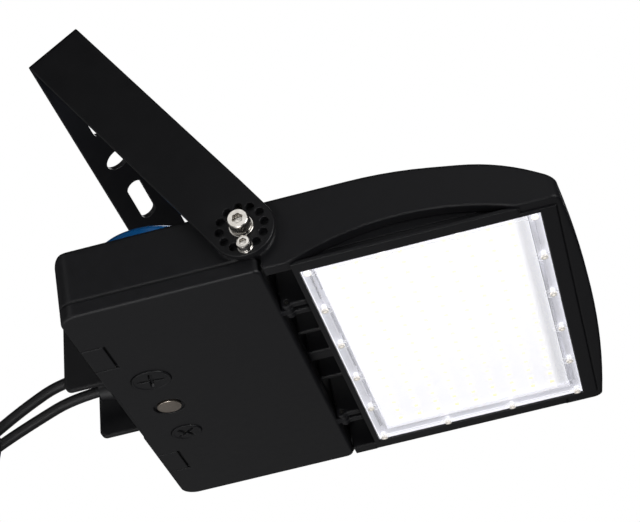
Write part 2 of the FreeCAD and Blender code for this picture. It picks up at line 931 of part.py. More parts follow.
# Lamp details.
FRAME_GAP = 0.4
LIP_INSET = 3
LIP_THICK = 2.5
GASKET_WIDTH = 8
LENS_BOSS = 3.8
BOSS_HEIGHT = 0.6
LENS_HEAD = 2.4
LENS_HEAD_HEIGHT = 1.4
PANEL_INSET = 5.5
PANEL_RISE = 0.6
PANEL_SCALLOP = 6
LENS_SOCKET = 2
LENS_SCREW_GRIP = 3
END_SHARES = (-1, -0.6, -0.2, 0.2, 0.6, 1)
SIDE_SHARES = (1 / 3, 2 / 3)


def lens_screw_spots():
    """Screws along all four edges of the lens, as shares of the space between its corner screws."""
    left = lens_start + S.screw_inset
    right = lens_end - S.screw_inset
    edge = half_lens - S.screw_inset
    spots = []
    for x in (left, right):
        for share in END_SHARES:
            spots.append((x, edge * share))
    for y in (-edge, edge):
        for share in SIDE_SHARES:
            spots.append((left + (right - left) * share, y))
    return spots


def make_frame():
    edge = recess_side - FRAME_GAP
    window_half = half_lens + FRAME_GAP
    lips = []
    for side in SIDES:
        y = span(side, edge - 1, half_width - LIP_INSET)
        flange = box((frame_start, nose_inside), y, (0, LIP_THICK))
        under_arch = rod("Y", S.arch_radius - FRAME_GAP, arch, *y)
        lips.append(common(flange, under_arch))
    block = fuse(box((frame_start, nose_inside - S.fit_gap), (-edge, edge), (0, S.base_height)), *lips)
    window = box(
        (lens_start - FRAME_GAP, lens_end + FRAME_GAP),
        (-window_half, window_half),
        (-past, S.base_height + past),
    )
    sub_part("lens_frame", HEAD, cut(block, window))


def make_lens():
    lens = box((lens_start, lens_end), (-half_lens, half_lens), (lens_bottom, lens_top))
    panel_half = half_lens - PANEL_INSET
    panel_z = (lens_bottom - PANEL_RISE, lens_bottom + PANEL_RISE)
    panel = box((lens_start + PANEL_INSET, lens_end - PANEL_INSET), (-panel_half, panel_half), panel_z)
    scallops = []
    for spot in lens_screw_spots():
        scallops.append(rod("Z", PANEL_SCALLOP, spot, panel_z[0] - past, panel_z[1] + past))
    bosses = []
    holes = []
    screws = []
    seat = lens_bottom - BOSS_HEIGHT
    hole = S.lens_thread / 2 + S.fit_gap
    for spot in lens_screw_spots():
        bosses.append(rod("Z", LENS_BOSS, spot, seat, lens_top))
        holes.append(rod("Z", hole, spot, seat - past, lens_top + past))
        head = rod("Z", LENS_HEAD, spot, seat - LENS_HEAD_HEIGHT, seat)
        tip = S.base_height + LENS_SCREW_GRIP
        thread = rod("Z", S.lens_thread / 2, spot, seat - LENS_HEAD_HEIGHT / 2, tip)
        socket = hexagon("Z", LENS_SOCKET, spot, seat - LENS_HEAD_HEIGHT - past, seat - LENS_HEAD_HEIGHT / 2)
        screws.append(cut(fuse(head, thread), socket))
    sub_part("lens_plate", HEAD, cut(fuse(lens, cut(panel, *scallops), *bosses), *holes))
    sub_part("lens_screws", HEAD, *screws)
    gasket = box((lens_start, lens_end), (-half_lens, half_lens), (lens_top, S.base_height))
    through = (lens_top - past, S.base_height + past)
    middle = box(
        (lens_start + GASKET_WIDTH, lens_end - GASKET_WIDTH),
        (GASKET_WIDTH - half_lens, half_lens - GASKET_WIDTH),
        through,
    )
    gasket_holes = [rod("Z", hole, spot, *through) for spot in lens_screw_spots()]
    sub_part("lens_gasket", HEAD, cut(gasket, middle, *gasket_holes))


def make_leds():
    inset = GASKET_WIDTH + S.turning_gap
    half_board = half_lens - inset
    bottom = S.base_height - S.board_thick
    x = (lens_start + inset, lens_end - inset)
    sub_part("led_board", HEAD, box(x, (-half_board, half_board), (bottom, S.base_height)))
    middle = (lens_start + lens_end) / 2
    half_length = (x[1] - x[0]) / 2
    columns = 2 * int(half_length.value / SIZES["chip_pitch"]) + 1
    rows = 2 * int(half_board.value / SIZES["chip_pitch"])
    half_chip = S.chip_size / 2
    z = (bottom - S.chip_thick, bottom)
    chips = []
    for column in range(columns):
        for line in range(rows):
            cx = middle + S.chip_pitch * (column - (columns - 1) / 2)
            cy = S.chip_pitch * (line - (rows - 1) / 2)
            chips.append(box((cx - half_chip, cx + half_chip), (cy - half_chip, cy + half_chip), z))
    sub_part("led_chips", HEAD, *chips)


# Pieces inside the driver box, hung from its roof.
EAR_LENGTH = 12
EAR_THICK = 2
EAR_INSET = 12
EAR_SHARES = (0.3, 0.7)
EAR_SCREW = 2.5
EAR_SCREW_HEAD = 2.5
POLES = 5
POLE_DEPTH = 5


def hung(x, y, height):
    """A block against the roof of the driver box."""
    return box(x, y, (roof_inside - height, roof_inside))


def make_driver_box():
    x1 = S.box_length - S.wall_thick - S.driver_front_gap
    x0 = S.cap_x + S.socket_body / 2 + S.driver_rear_gap
    y0 = S.driver_shift - S.driver_length / 2
    y1 = S.driver_shift + S.driver_length / 2
    case = hung((x0, x1), (y0, y1), S.driver_height)
    ear_x = (x0 + EAR_INSET, x1 - EAR_INSET)
    ears = [
        hung(ear_x, (y0 - EAR_LENGTH, y0), EAR_THICK),
        hung(ear_x, (y1, y1 + EAR_LENGTH), EAR_THICK),
    ]
    ear_width = ear_x[1] - ear_x[0]
    ear_face = roof_inside - EAR_THICK
    brackets = []
    screws = []
    for ear, y in zip(ears, (y0 - EAR_LENGTH / 2, y1 + EAR_LENGTH / 2)):
        holes = []
        for share in EAR_SHARES:
            spot = (ear_x[0] + ear_width * share, y)
            holes.append(rod("Z", EAR_SCREW, spot, ear_face - past, roof_inside + past))
            head = rod("Z", EAR_SCREW * 1.8, spot, ear_face - EAR_SCREW_HEAD, ear_face)
            stem = rod("Z", EAR_SCREW - S.fit_gap, spot, ear_face - EAR_SCREW_HEAD / 2, roof_inside)
            screws.append(fuse(head, stem))
        brackets.append(cut(ear, *holes))
    sub_part("driver", HEAD, case)
    sub_part("driver_brackets", HEAD, *brackets)
    sub_part("driver_screws", HEAD, *screws)
    rear = S.wall_thick + S.wiring_gap
    beside_stud = S.stud_offset + S.stud_boss / 2 + S.wiring_gap
    surge_y = (beside_stud, beside_stud + S.surge_length)
    sub_part("surge_protector", HEAD, hung((rear, rear + S.surge_width), surge_y, S.surge_height))
    block_y = (-beside_stud - S.terminal_length, -beside_stud)
    block = hung((rear, rear + S.terminal_width), block_y, S.terminal_height)
    pitch = S.terminal_length / POLES
    low = roof_inside - S.terminal_height
    poles = []
    for i in range(POLES):
        spot = (rear + S.terminal_width / 2, block_y[0] + pitch * (i + 0.5))
        poles.append(rod("Z", pitch * 0.3, spot, low - past, low + POLE_DEPTH))
    sub_part("terminal_block", HEAD, cut(block, *poles))


# Photocontrol and its socket on the platform.
SOCKET_GASKET = 1
BLADE_INNER = 15.5
BLADE_OUTER = 17.5
BLADE_DROP = 8
BLADE_ROOM = 1
BLADE_STARTS = (10, 130, 250)
BLADE_SWEEP = 40
CAP_FLOOR = 6
CAP_WALL = 3
CAP_BEVEL = 3
WINDOW_RADIUS = 7
WINDOW_DROP = 24
WINDOW_THICK = 3.7


def blade_sector(start):
    """A wedge that keeps one arc of a ring round the photocontrol's axis."""
    reach = 2 * BLADE_OUTER
    points = []
    for angle in (start, start + BLADE_SWEEP / 2, start + BLADE_SWEEP):
        turn = math.radians(angle)
        points.append(Vector(reach * math.cos(turn), reach * math.sin(turn), 0))
    face = Part.Face(Part.makePolygon([Vector(), *points, Vector()]))
    item = doc.addObject("Part::Feature", "sector")
    item.Shape = face.extrude(Vector(0, 0, 3 * BLADE_DROP))
    item.Placement = Placement(Vector(S.cap_x.value, 0, cap_bottom.value - 2 * BLADE_DROP), Rotation())
    return item


def make_photocontrol():
    spot = (S.cap_x, 0)
    seat = platform_top - SOCKET_SEAT
    gasket_top = seat + SOCKET_GASKET
    groove_floor = cap_bottom - BLADE_DROP - BLADE_ROOM
    groove_radii = (BLADE_OUTER + BLADE_ROOM, BLADE_INNER - BLADE_ROOM)
    groove = ring("Z", *groove_radii, spot, groove_floor, cap_bottom + past)
    socket = fuse(
        rod("Z", S.socket_width / 2, spot, gasket_top, cap_bottom),
        rod("Z", S.socket_body / 2, spot, gasket_top - S.socket_depth, gasket_top + 1),
    )
    sub_part("photocontrol_socket", HEAD, cut(socket, groove))
    gasket_radii = (S.socket_width / 2, S.socket_body / 2 + S.fit_gap)
    sub_part("socket_gasket", HEAD, ring("Z", *gasket_radii, spot, seat, gasket_top))
    cap_top = cap_bottom + S.cap_height
    radius = S.cap_width / 2
    window_z = cap_top - WINDOW_DROP
    shell = cut(
        fuse(
            rod("Z", radius, spot, cap_bottom, cap_top - CAP_BEVEL),
            cone("Z", radius, radius - CAP_BEVEL, spot, cap_top - CAP_BEVEL, cap_top),
        ),
        rod("Z", radius - CAP_WALL, spot, cap_bottom + CAP_FLOOR, cap_top - 2 * CAP_WALL),
        rod("X", WINDOW_RADIUS + S.fit_gap, (0, window_z), S.cap_x, S.cap_x + S.cap_width),
    )
    sub_part("photocontrol_cap", HEAD, shell)
    face = S.cap_x + radius - S.turning_gap
    sub_part("sensor_window", HEAD, rod("X", WINDOW_RADIUS, (0, window_z), face - WINDOW_THICK, face))
    blades = ring("Z", BLADE_OUTER, BLADE_INNER, spot, cap_bottom - BLADE_DROP, cap_bottom)
    sub_part("contact_blades", HEAD, *[common(blades, blade_sector(start)) for start in BLADE_STARTS])


# Cables: glands at the rear wall, free runs, tied coils and stripped leads.
GLAND_HEX = 6
GLAND_NUT_END = 20
LOCKNUT = 5
COIL_TURNS = 3
TIE_WIDTH = 4.6
TIE_THICK = 1.2
LEAD_RADIUS = 1.3
LEAD_SPREAD = 1.9
BARE_LENGTH = 8
BARE_RADIUS = 0.8
EXIT_RUN = 31
# The free runs hang from where each cable leaves its gland: (away from the wall, up), after a run
# along the gland.
POWER_ROUTE = [(-20.2, -59.8), (-20.9, -91.8), (-20.9, -123.8)]
CONTROL_ROUTE = [(-22.9, -60.8), (-27.9, -93.8), (-29.4, -126.9), (-29.4, -183)]


coil_pitch = S.cable_width + S.coil_gap


def make_glands():
    bodies = []
    nuts = []
    locknuts = []
    for side in SIDES:
        spot = (S.gland_offset * side, gland_height)
        body = fuse(
            hexagon("X", GLAND_FLATS, spot, -GLAND_HEX, 0),
            rod("X", GLAND_THREAD, spot, -GLAND_HEX + 1, S.wall_thick + LOCKNUT + 1),
        )
        bodies.append(body)
        nut = cut(
            cone("X", cable_radius + 2.6, GLAND_FLATS / 2 - 0.6, spot, -GLAND_NUT_END, -GLAND_HEX),
            rod("X", cable_radius + S.turning_gap, spot, -GLAND_NUT_END - past, -GLAND_HEX + past),
        )
        nuts.append(nut)
        hollow = rod("X", GLAND_THREAD + S.fit_gap, spot, S.wall_thick - past, S.wall_thick + LOCKNUT + past)
        locknuts.append(cut(hexagon("X", GLAND_FLATS, spot, S.wall_thick, S.wall_thick + LOCKNUT), hollow))
    sub_part("cable_glands", HEAD, *bodies)
    sub_part("gland_nuts", HEAD, *nuts)
    sub_part("gland_locknuts", HEAD, *locknuts)


def arc_middle(start, tangent, end):
    """The middle point of the arc that leaves start along tangent and ends at end."""
    chord = end - start
    angle = tangent.getAngle(chord)
    middle = (start + end) * 0.5
    apex = start + tangent * (chord.Length / 2 / math.cos(angle))
    rise = math.tan(angle / 2) / math.tan(angle)
    return middle + (apex - middle) * rise


def rounded_route(points, name):
    """Straight runs joined by the largest tangent arcs that they leave room for."""
    edges = []
    at = points[0]
    radii = []
    for before, corner, after in zip(points, points[1:], points[2:]):
        inward = (before - corner).normalize()
        onward = (after - corner).normalize()
        reach = 0.45 * min((before - corner).Length, (after - corner).Length)
        turn = math.pi - inward.getAngle(onward)
        radii.append(round(reach / math.tan(turn / 2)))
        first = corner + inward * reach
        last = corner + onward * reach
        edges.append(Part.LineSegment(at, first).toShape())
        edges.append(Part.Arc(first, arc_middle(first, inward * -1, last), last).toShape())
        at = last
    edges.append(Part.LineSegment(at, points[-1]).toShape())
    print(name, "bend radii", radii)
    return Part.Wire(edges)


def coil_route(top, side):
    """A hanging coil: straight in, whole turns about an axis along X, straight out, down at its side."""
    diameter = S.cable_width.value
    radius = S.coil_width.value / 2
    pitch = coil_pitch.value
    entry = top - Vector(0, 0, diameter)
    centre = entry + Vector(0, side * radius, 0)
    rate = pitch / (2 * math.pi * radius)

    def point(angle):
        return centre + Vector(
            pitch * angle / (2 * math.pi), -side * radius * math.cos(angle), -radius * math.sin(angle)
        )

    def tangent(angle):
        return Vector(rate, side * math.sin(angle), -math.cos(angle)).normalize()

    edges = [Part.LineSegment(top, entry).toShape()]
    quarters = COIL_TURNS * 4
    spots = []
    for i in range(quarters):
        a, b = i * math.pi / 2, (i + 1) * math.pi / 2
        start, end = point(a), point(b)
        going_in = Vector(0, 0, -1) if i == 0 else tangent(a)
        going_out = Vector(0, 0, -1) if i == quarters - 1 else tangent(b)
        reach = biarc_reach(end - start, going_in, going_out)
        joint = (start + end + (going_in - going_out) * reach) * 0.5
        edges.append(Part.Arc(start, arc_middle(start, going_in, joint), joint).toShape())
        edges.append(Part.Arc(joint, arc_middle(end, going_out * -1, joint), end).toShape())
        spots += [point(a + (b - a) * k / 30) for k in range(30)]
    bottom = point(COIL_TURNS * 2 * math.pi)
    edges.append(Part.LineSegment(bottom, bottom - Vector(0, 0, diameter)).toShape())
    return Part.Wire(edges), spots, bottom - Vector(0, 0, diameter)


def biarc_reach(gap, going_in, going_out):
    """The equal tangent length of the two arcs that join two points with given directions."""
    both = going_in + going_out
    slack = 2 * (1 - going_in.dot(going_out))
    return (math.sqrt(gap.dot(both) ** 2 + slack * gap.dot(gap)) - gap.dot(both)) / slack


def self_gap(spots, diameter):
    """The least distance between turns of one coil, less the cable's own thickness."""
    turn = len(spots) // COIL_TURNS
    least = min(
        (spots[i] - spots[j]).Length
        for i in range(0, len(spots), 4)
        for j in range(i + turn // 2, len(spots))
    )
    return least - diameter


def tube(label, route, radius):
    """A round cable along a route, as one solid."""
    start = route.OrderedEdges[0]
    going = start.tangentAt(start.FirstParameter)
    if (start.valueAt(start.FirstParameter) - route.OrderedVertexes[0].Point).Length > 0.01:
        going = start.tangentAt(start.LastParameter) * -1
    profile = Part.Wire(Part.Circle(route.OrderedVertexes[0].Point, going, radius).toShape())
    solid = route.makePipeShell([profile], True, False)
    expected = math.pi * radius**2 * route.Length
    print(label, "length", round(route.Length, 1), "volume share", round(solid.Volume / expected, 4))
    item = doc.addObject("Part::Feature", label)
    item.Label = label
    item.Shape = solid
    item.Placement = Placement()
    sub_parts.append(item)


def make_tie(centre):
    """A strap round the turns at the top of a coil."""
    radius = S.coil_width.value / 2
    pitch = coil_pitch.value
    reach = S.cable_width.value / 2 + 0.3
    low = centre.x + 0.75 * pitch - reach
    high = centre.x + (COIL_TURNS - 0.25) * pitch + reach
    top = centre.z + radius
    y = (centre.y - TIE_WIDTH / 2, centre.y + TIE_WIDTH / 2)
    wide = box((low - TIE_THICK, high + TIE_THICK), y, (top - reach - TIE_THICK, top + reach + TIE_THICK))
    room = box((low, high), (y[0] - past, y[1] + past), (top - reach, top + reach))
    head = box((high + TIE_THICK, high + TIE_THICK + 4), y, (top - 3, top + 3))
    return cut(fuse(wide, head), room)


def make_cables():
    ties = []
    tips = []
    plans = (
        ("power_cable", "power_coil", "power_leads", -1, POWER_ROUTE, 3),
        ("control_cable", "control_coil", "control_leads", 1, CONTROL_ROUTE, 2),
    )
    for cable, coil, leads, side, route, wires in plans:
        gland = Vector(-GLAND_HEX, S.gland_offset.value * side, gland_height.value)
        start = HEAD.multVec(gland)
        points = [start, HEAD.multVec(gland - Vector(EXIT_RUN, 0, 0))]
        points += [start + Vector(out, 0, up) for out, up in route]
        print(cable, "route", [tuple(round(c, 2) for c in point) for point in points])
        tube(cable, rounded_route(points, cable), cable_radius.value)
        turns, spots, end = coil_route(points[-1], side)
        tube(coil, turns, cable_radius.value)
        print(coil, "least gap between turns", round(self_gap(spots, S.cable_width.value), 2))
        entry = points[-1] - Vector(0, 0, S.cable_width.value)
        centre = entry + Vector(0, side * S.coil_width.value / 2, 0)
        ties.append(make_tie(centre))
        strands = []
        for i in range(wires):
            angle = 2 * math.pi * i / wires
            spot = (end.x + LEAD_SPREAD * math.cos(angle), end.y + LEAD_SPREAD * math.sin(angle))
            low = end.z - S.lead_length
            strands.append(rod("Z", LEAD_RADIUS, spot, low, end.z))
            tips.append(rod("Z", BARE_RADIUS, spot, low - BARE_LENGTH, low))
        sub_part(leads, YOKE, *strands)
    sub_part("cable_ties", YOKE, *ties)
    sub_part("bare_tips", YOKE, *tips)


make_yoke()
make_locks()
make_pivots()
make_inserts()
make_housing()
make_frame()
make_lens()
make_leds()
make_driver_box()
make_photocontrol()
make_glands()
make_cables()
make_door()
make_hinge_pins()
make_door_gasket()
make_door_screws()
make_vent()

doc.recompute()
for item in doc.Objects:
    if "Invalid" in item.State or "Error" in item.State:
        raise RuntimeError(f"{item.Name} ({item.Label}) failed: {item.State}")
os.makedirs("parts", exist_ok=True)
for item in sub_parts:
    if item.Shape.isNull() or not item.Shape.isValid() or not item.Shape.Solids:
        raise RuntimeError(f"{item.Label} has no valid solid")
for item in sub_parts:
    item.Shape.exportStep(f"parts/{item.Label}.step")
    print(item.Label, len(item.Shape.Solids), round(item.Shape.Volume / 1000, 2), "cm3")
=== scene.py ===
import json
import math
from typing import NamedTuple

import bmesh
import bpy
from bpy.props import FloatProperty, FloatVectorProperty, IntProperty, PointerProperty
from mathutils import Matrix, Vector


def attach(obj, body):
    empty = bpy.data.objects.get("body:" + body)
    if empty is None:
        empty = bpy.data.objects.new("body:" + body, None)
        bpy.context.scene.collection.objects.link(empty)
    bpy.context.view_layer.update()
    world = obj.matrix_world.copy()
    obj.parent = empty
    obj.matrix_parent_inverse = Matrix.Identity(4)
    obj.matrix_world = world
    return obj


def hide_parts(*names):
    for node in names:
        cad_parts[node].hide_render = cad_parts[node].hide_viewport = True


bl_info = {
    "name": "LED flood light",
    "version": (1, 0, 0),
    "blender": (4, 5, 0),
    "location": "View3D > Sidebar > Flood light",
    "description": "Gives the packed flood light its finishes, fasteners, cables and studio",
    "category": "Object",
}

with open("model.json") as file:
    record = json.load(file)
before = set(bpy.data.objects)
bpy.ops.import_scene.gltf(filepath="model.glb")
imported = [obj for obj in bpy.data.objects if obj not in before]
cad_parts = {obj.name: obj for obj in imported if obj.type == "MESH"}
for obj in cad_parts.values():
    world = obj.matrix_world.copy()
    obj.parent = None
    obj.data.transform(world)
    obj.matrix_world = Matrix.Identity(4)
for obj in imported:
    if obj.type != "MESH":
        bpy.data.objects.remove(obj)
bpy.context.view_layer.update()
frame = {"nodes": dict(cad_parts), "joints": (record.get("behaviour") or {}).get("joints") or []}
NODES = frame["nodes"]
JOINTS = {joint["name"]: joint for joint in frame["joints"]}
MM = 0.001

# The head is drawn level, in millimetres from the door's rear edge, and is tilted at rest about the pivot.
TILT = math.radians(58.8)
PIVOT = Vector(JOINTS["head_tilt"]["pos_m"])
PIVOT_IN_HEAD = Vector((128, 0, 29)) * MM
HEAD = Matrix.Translation(PIVOT) @ Matrix.Rotation(-TILT, 4, "Y") @ Matrix.Translation(-PIVOT_IN_HEAD)
ARM_OUTSIDE = NODES["yoke_bracket"].dimensions.y / 2

# The collection of the pieces that the metal softboxes light.
BRIGHT_METAL = "bright_metal"


def linear(hex_colour):
    """An sRGB hex value, such as 1b1b1d, as linear red, green, blue and alpha."""
    shares = [int(hex_colour[i : i + 2], 16) / 255 for i in (0, 2, 4)]
    return (*(s / 12.92 if s <= 0.04045 else ((s + 0.055) / 1.055) ** 2.4 for s in shares), 1.0)


class FloodLightColours(bpy.types.PropertyGroup):
    coat: FloatVectorProperty(
        name="Powder coat", description="Black of the castings and the yoke", subtype="COLOR", size=4,
        default=linear("161618"),
    )
    cap: FloatVectorProperty(
        name="Photocontrol", description="Blue of the twist-lock cap", subtype="COLOR", size=4,
        default=linear("1773bc"),
    )
    jacket: FloatVectorProperty(
        name="Cable jacket", description="Black of the cable jackets", subtype="COLOR", size=4,
        default=linear("19191b"),
    )
    steel: FloatVectorProperty(
        name="Stainless steel", description="Tint of the bright fasteners", subtype="COLOR", size=4,
        default=linear("d2cfca"),
    )
    glow: FloatVectorProperty(
        name="Lamp field", description="Light of the board round the chips", subtype="COLOR", size=4,
        default=linear("fffffe"),
    )
    chip: FloatVectorProperty(
        name="LED chips", description="Warm light of the phosphor", subtype="COLOR", size=4,
        default=linear("ffeecb"),
    )


class FloodLightSizes(bpy.types.PropertyGroup):
    casting_edge: FloatProperty(
        name="Casting edge", description="Rounding that the coat leaves on cast edges", subtype="DISTANCE",
        default=0.3 * MM,
    )
    frame_edge: FloatProperty(
        name="Frame edge", description="Rounding of the lens frame, whose seam hardly shows",
        subtype="DISTANCE", default=0.15 * MM,
    )
    strap_edge: FloatProperty(
        name="Strap edge", description="Rounding of the yoke strap's edges", subtype="DISTANCE",
        default=0.5 * MM,
    )
    moulded_edge: FloatProperty(
        name="Moulded edge", description="Rounding of moulded plastic edges", subtype="DISTANCE",
        default=0.3 * MM,
    )
    cap_edge: FloatProperty(
        name="Cap edge", description="Rounding of the photocontrol cap", subtype="DISTANCE",
        default=0.8 * MM,
    )
    jacket_diameter: FloatProperty(
        name="Cable diameter", description="Outside diameter of both cables", subtype="DISTANCE",
        default=7.8 * MM,
    )
    coil_radius: FloatProperty(
        name="Coil radius", description="From the coil's axis to the middle of the cable", subtype="DISTANCE",
        default=43 * MM,
    )
    coil_pitch: FloatProperty(
        name="Coil pitch", description="From one turn to the next", subtype="DISTANCE", default=8.6 * MM
    )
    coil_turns: IntProperty(name="Coil turns", description="Turns in each coil", default=3, min=1, max=12)
    lead_length: FloatProperty(
        name="Lead length", description="Wire that is stripped of its jacket", subtype="DISTANCE",
        default=45 * MM,
    )
    lamp_strength: FloatProperty(
        name="Lamp strength", description="Brightness of the lit field", default=1.04
    )


def colours():
    return bpy.context.scene.flood_light_colours


def sizes():
    return bpy.context.scene.flood_light_sizes


def add_node(tree, kind, inputs=None, **settings):
    """Adds a node, sets its options, and sets or links its inputs."""
    made = tree.nodes.new(kind)
    for name, value in settings.items():
        setattr(made, name, value)
    for socket, value in (inputs or {}).items():
        if isinstance(value, bpy.types.NodeSocket):
            tree.links.new(value, made.inputs[socket])
        else:
            made.inputs[socket].default_value = value
    return made


def finish(name, build):
    """The material of that name, built once."""
    material = bpy.data.materials.get(name)
    if material is None:
        material = bpy.data.materials.new(name)
        material.use_nodes = True
        material.node_tree.nodes.clear()
        shader = build(material.node_tree)
        add_node(material.node_tree, "ShaderNodeOutputMaterial", {"Surface": shader.outputs[0]})
    return material


def head_place(tree):
    """Splits the shaded point's place in the level head into X, Y and Z, in metres."""
    level = HEAD.inverted()
    place = add_node(tree, "ShaderNodeTexCoord")
    moved = add_node(
        tree, "ShaderNodeMapping",
        {"Vector": place.outputs["Object"], "Location": level.to_translation(), "Rotation": level.to_euler()},
        vector_type="POINT",
    )
    return add_node(tree, "ShaderNodeSeparateXYZ", {"Vector": moved.outputs["Vector"]})


# How far from an edge of a casting the light starts to turn round it.
CASTING_LIP = 1.2 * MM
HOUSING_LIP = 3 * MM


def powder_coat_casting(name="powder_coated_die_cast_aluminium", lip_radius=CASTING_LIP):
    # Polyester powder coat baked on die-cast aluminium: satin black, with a tooth of about 0.5 mm that
    # softens every highlight and slow orange peel of about 7 mm. The tooth is drawn at 0.9 mm so that it
    # shows. The light turns round the casting's edges over the lip radius.
    def build(tree):
        place = add_node(tree, "ShaderNodeTexCoord").outputs["Object"]
        lip = add_node(tree, "ShaderNodeBevel", {"Radius": lip_radius}, samples=6)
        tooth = add_node(
            tree, "ShaderNodeTexNoise", {"Vector": place, "Scale": 1 / (0.9 * MM), "Detail": 2.0}
        )
        peel = add_node(tree, "ShaderNodeTexNoise", {"Vector": place, "Scale": 1 / (7 * MM), "Detail": 1.0})
        tone = add_node(
            tree, "ShaderNodeMix",
            {"Factor": peel.outputs["Fac"], "A": colours().coat, "B": linear("1b1b1e")}, data_type="RGBA",
        )
        sheen = add_node(
            tree, "ShaderNodeMapRange", {"Value": peel.outputs["Fac"], "To Min": 0.36, "To Max": 0.46}
        )
        height = add_node(
            tree, "ShaderNodeMath", {0: tooth.outputs["Fac"], 1: peel.outputs["Fac"]}, operation="ADD"
        )
        bump = add_node(
            tree, "ShaderNodeBump",
            {
                "Height": height.outputs[0],
                "Strength": 0.12,
                "Distance": 0.12 * MM,
                "Normal": lip.outputs["Normal"],
            },
        )
        return add_node(
            tree, "ShaderNodeBsdfPrincipled",
            {
                "Base Color": tone.outputs["Result"],
                "Roughness": sheen.outputs["Result"],
                "Normal": bump.outputs["Normal"],
                "IOR": 1.5,
                "Specular IOR Level": 0.4,
            },
        )

    return finish(name, build)


def powder_coat_strap():
    # The same coat on rolled steel strap: flatter, since the sheet under it is smooth, with orange peel of
    # about 12 mm. The tooth is drawn at 0.8 mm so that it shows.
    def build(tree):
        place = add_node(tree, "ShaderNodeTexCoord").outputs["Object"]
        tooth = add_node(
            tree, "ShaderNodeTexNoise", {"Vector": place, "Scale": 1 / (0.8 * MM), "Detail": 2.0}
        )
        peel = add_node(tree, "ShaderNodeTexNoise", {"Vector": place, "Scale": 1 / (12 * MM), "Detail": 1.0})
        tone = add_node(
            tree, "ShaderNodeMix",
            {"Factor": peel.outputs["Fac"], "A": colours().coat, "B": linear("19191b")}, data_type="RGBA",
        )
        sheen = add_node(
            tree, "ShaderNodeMapRange", {"Value": peel.outputs["Fac"], "To Min": 0.36, "To Max": 0.46}
        )
        bump = add_node(
            tree, "ShaderNodeBump", {"Height": tooth.outputs["Fac"], "Strength": 0.1, "Distance": 0.1 * MM}
        )
        return add_node(
            tree, "ShaderNodeBsdfPrincipled",
            {
                "Base Color": tone.outputs["Result"],
                "Roughness": sheen.outputs["Result"],
                "Normal": bump.outputs["Normal"],
                "IOR": 1.5,
                "Specular IOR Level": 0.4,
            },
        )

    return finish("powder_coated_steel_strap", build)


def steel_surface(tree, glare=0.0):
    """What turned steel does: a bright metal with tool marks and smears, under a glare if there is one."""
    place = add_node(tree, "ShaderNodeTexCoord").outputs["Object"]
    marks = add_node(
        tree, "ShaderNodeTexNoise", {"Vector": place, "Scale": 1 / (0.5 * MM), "Detail": 3.0}
    )
    smear = add_node(tree, "ShaderNodeTexNoise", {"Vector": place, "Scale": 1 / (3 * MM), "Detail": 2.0})
    sheen = add_node(
        tree, "ShaderNodeMapRange", {"Value": smear.outputs["Fac"], "To Min": 0.18, "To Max": 0.36}
    )
    tone = add_node(
        tree, "ShaderNodeMix",
        {"Factor": smear.outputs["Fac"], "A": colours().steel, "B": linear("b9b4ad")}, data_type="RGBA",
    )
    bump = add_node(
        tree, "ShaderNodeBump", {"Height": marks.outputs["Fac"], "Strength": 0.1, "Distance": 0.05 * MM}
    )
    return add_node(
        tree, "ShaderNodeBsdfPrincipled",
        {
            "Base Color": tone.outputs["Result"],
            "Metallic": 1.0,
            "Roughness": sheen.outputs["Result"],
            "Normal": bump.outputs["Normal"],
            "Emission Color": tone.outputs["Result"],
            "Emission Strength": glare,
        },
    )


def turned_stainless():
    # Cold-headed and turned stainless steel: bright, with smears of about 3 mm and fine tool marks of about
    # 0.2 mm, drawn at 0.5 mm.
    return finish("turned_stainless_steel", steel_surface)


# Along the level head's Y, the near row of lens screws lies before the first place, and the others lie past
# the second.
NEAR_ROW_END = -128 * MM
OTHER_ROWS_START = -120 * MM
NEAR_ROW_GLARE = 1.7
OTHER_ROWS_GLARE = 0.8


def glaring_stainless():
    # The same, beside the lit field: the glow stands for the lamp's glare, strongest in the near row.
    def build(tree):
        glare = add_node(
            tree, "ShaderNodeMapRange",
            {
                "Value": head_place(tree).outputs["Y"],
                "From Min": NEAR_ROW_END,
                "From Max": OTHER_ROWS_START,
                "To Min": NEAR_ROW_GLARE,
                "To Max": OTHER_ROWS_GLARE,
            },
        )
        return steel_surface(tree, glare.outputs["Result"])

    return finish("glaring_stainless_steel", build)


def zinc_plate():
    # Bright zinc plating on steel: greyer than stainless, faintly clouded by the passivation at about 4 mm.
    def build(tree):
        place = add_node(tree, "ShaderNodeTexCoord").outputs["Object"]
        cloud = add_node(tree, "ShaderNodeTexNoise", {"Vector": place, "Scale": 1 / (4 * MM), "Detail": 3.0})
        tone = add_node(
            tree, "ShaderNodeMix",
            {"Factor": cloud.outputs["Fac"], "A": linear("b4b6b8"), "B": linear("a3a49c")}, data_type="RGBA",
        )
        sheen = add_node(
            tree, "ShaderNodeMapRange", {"Value": cloud.outputs["Fac"], "To Min": 0.28, "To Max": 0.45}
        )
        return add_node(
            tree, "ShaderNodeBsdfPrincipled",
            {"Base Color": tone.outputs["Result"], "Metallic": 1.0, "Roughness": sheen.outputs["Result"]},
        )

    return finish("zinc_plated_steel", build)


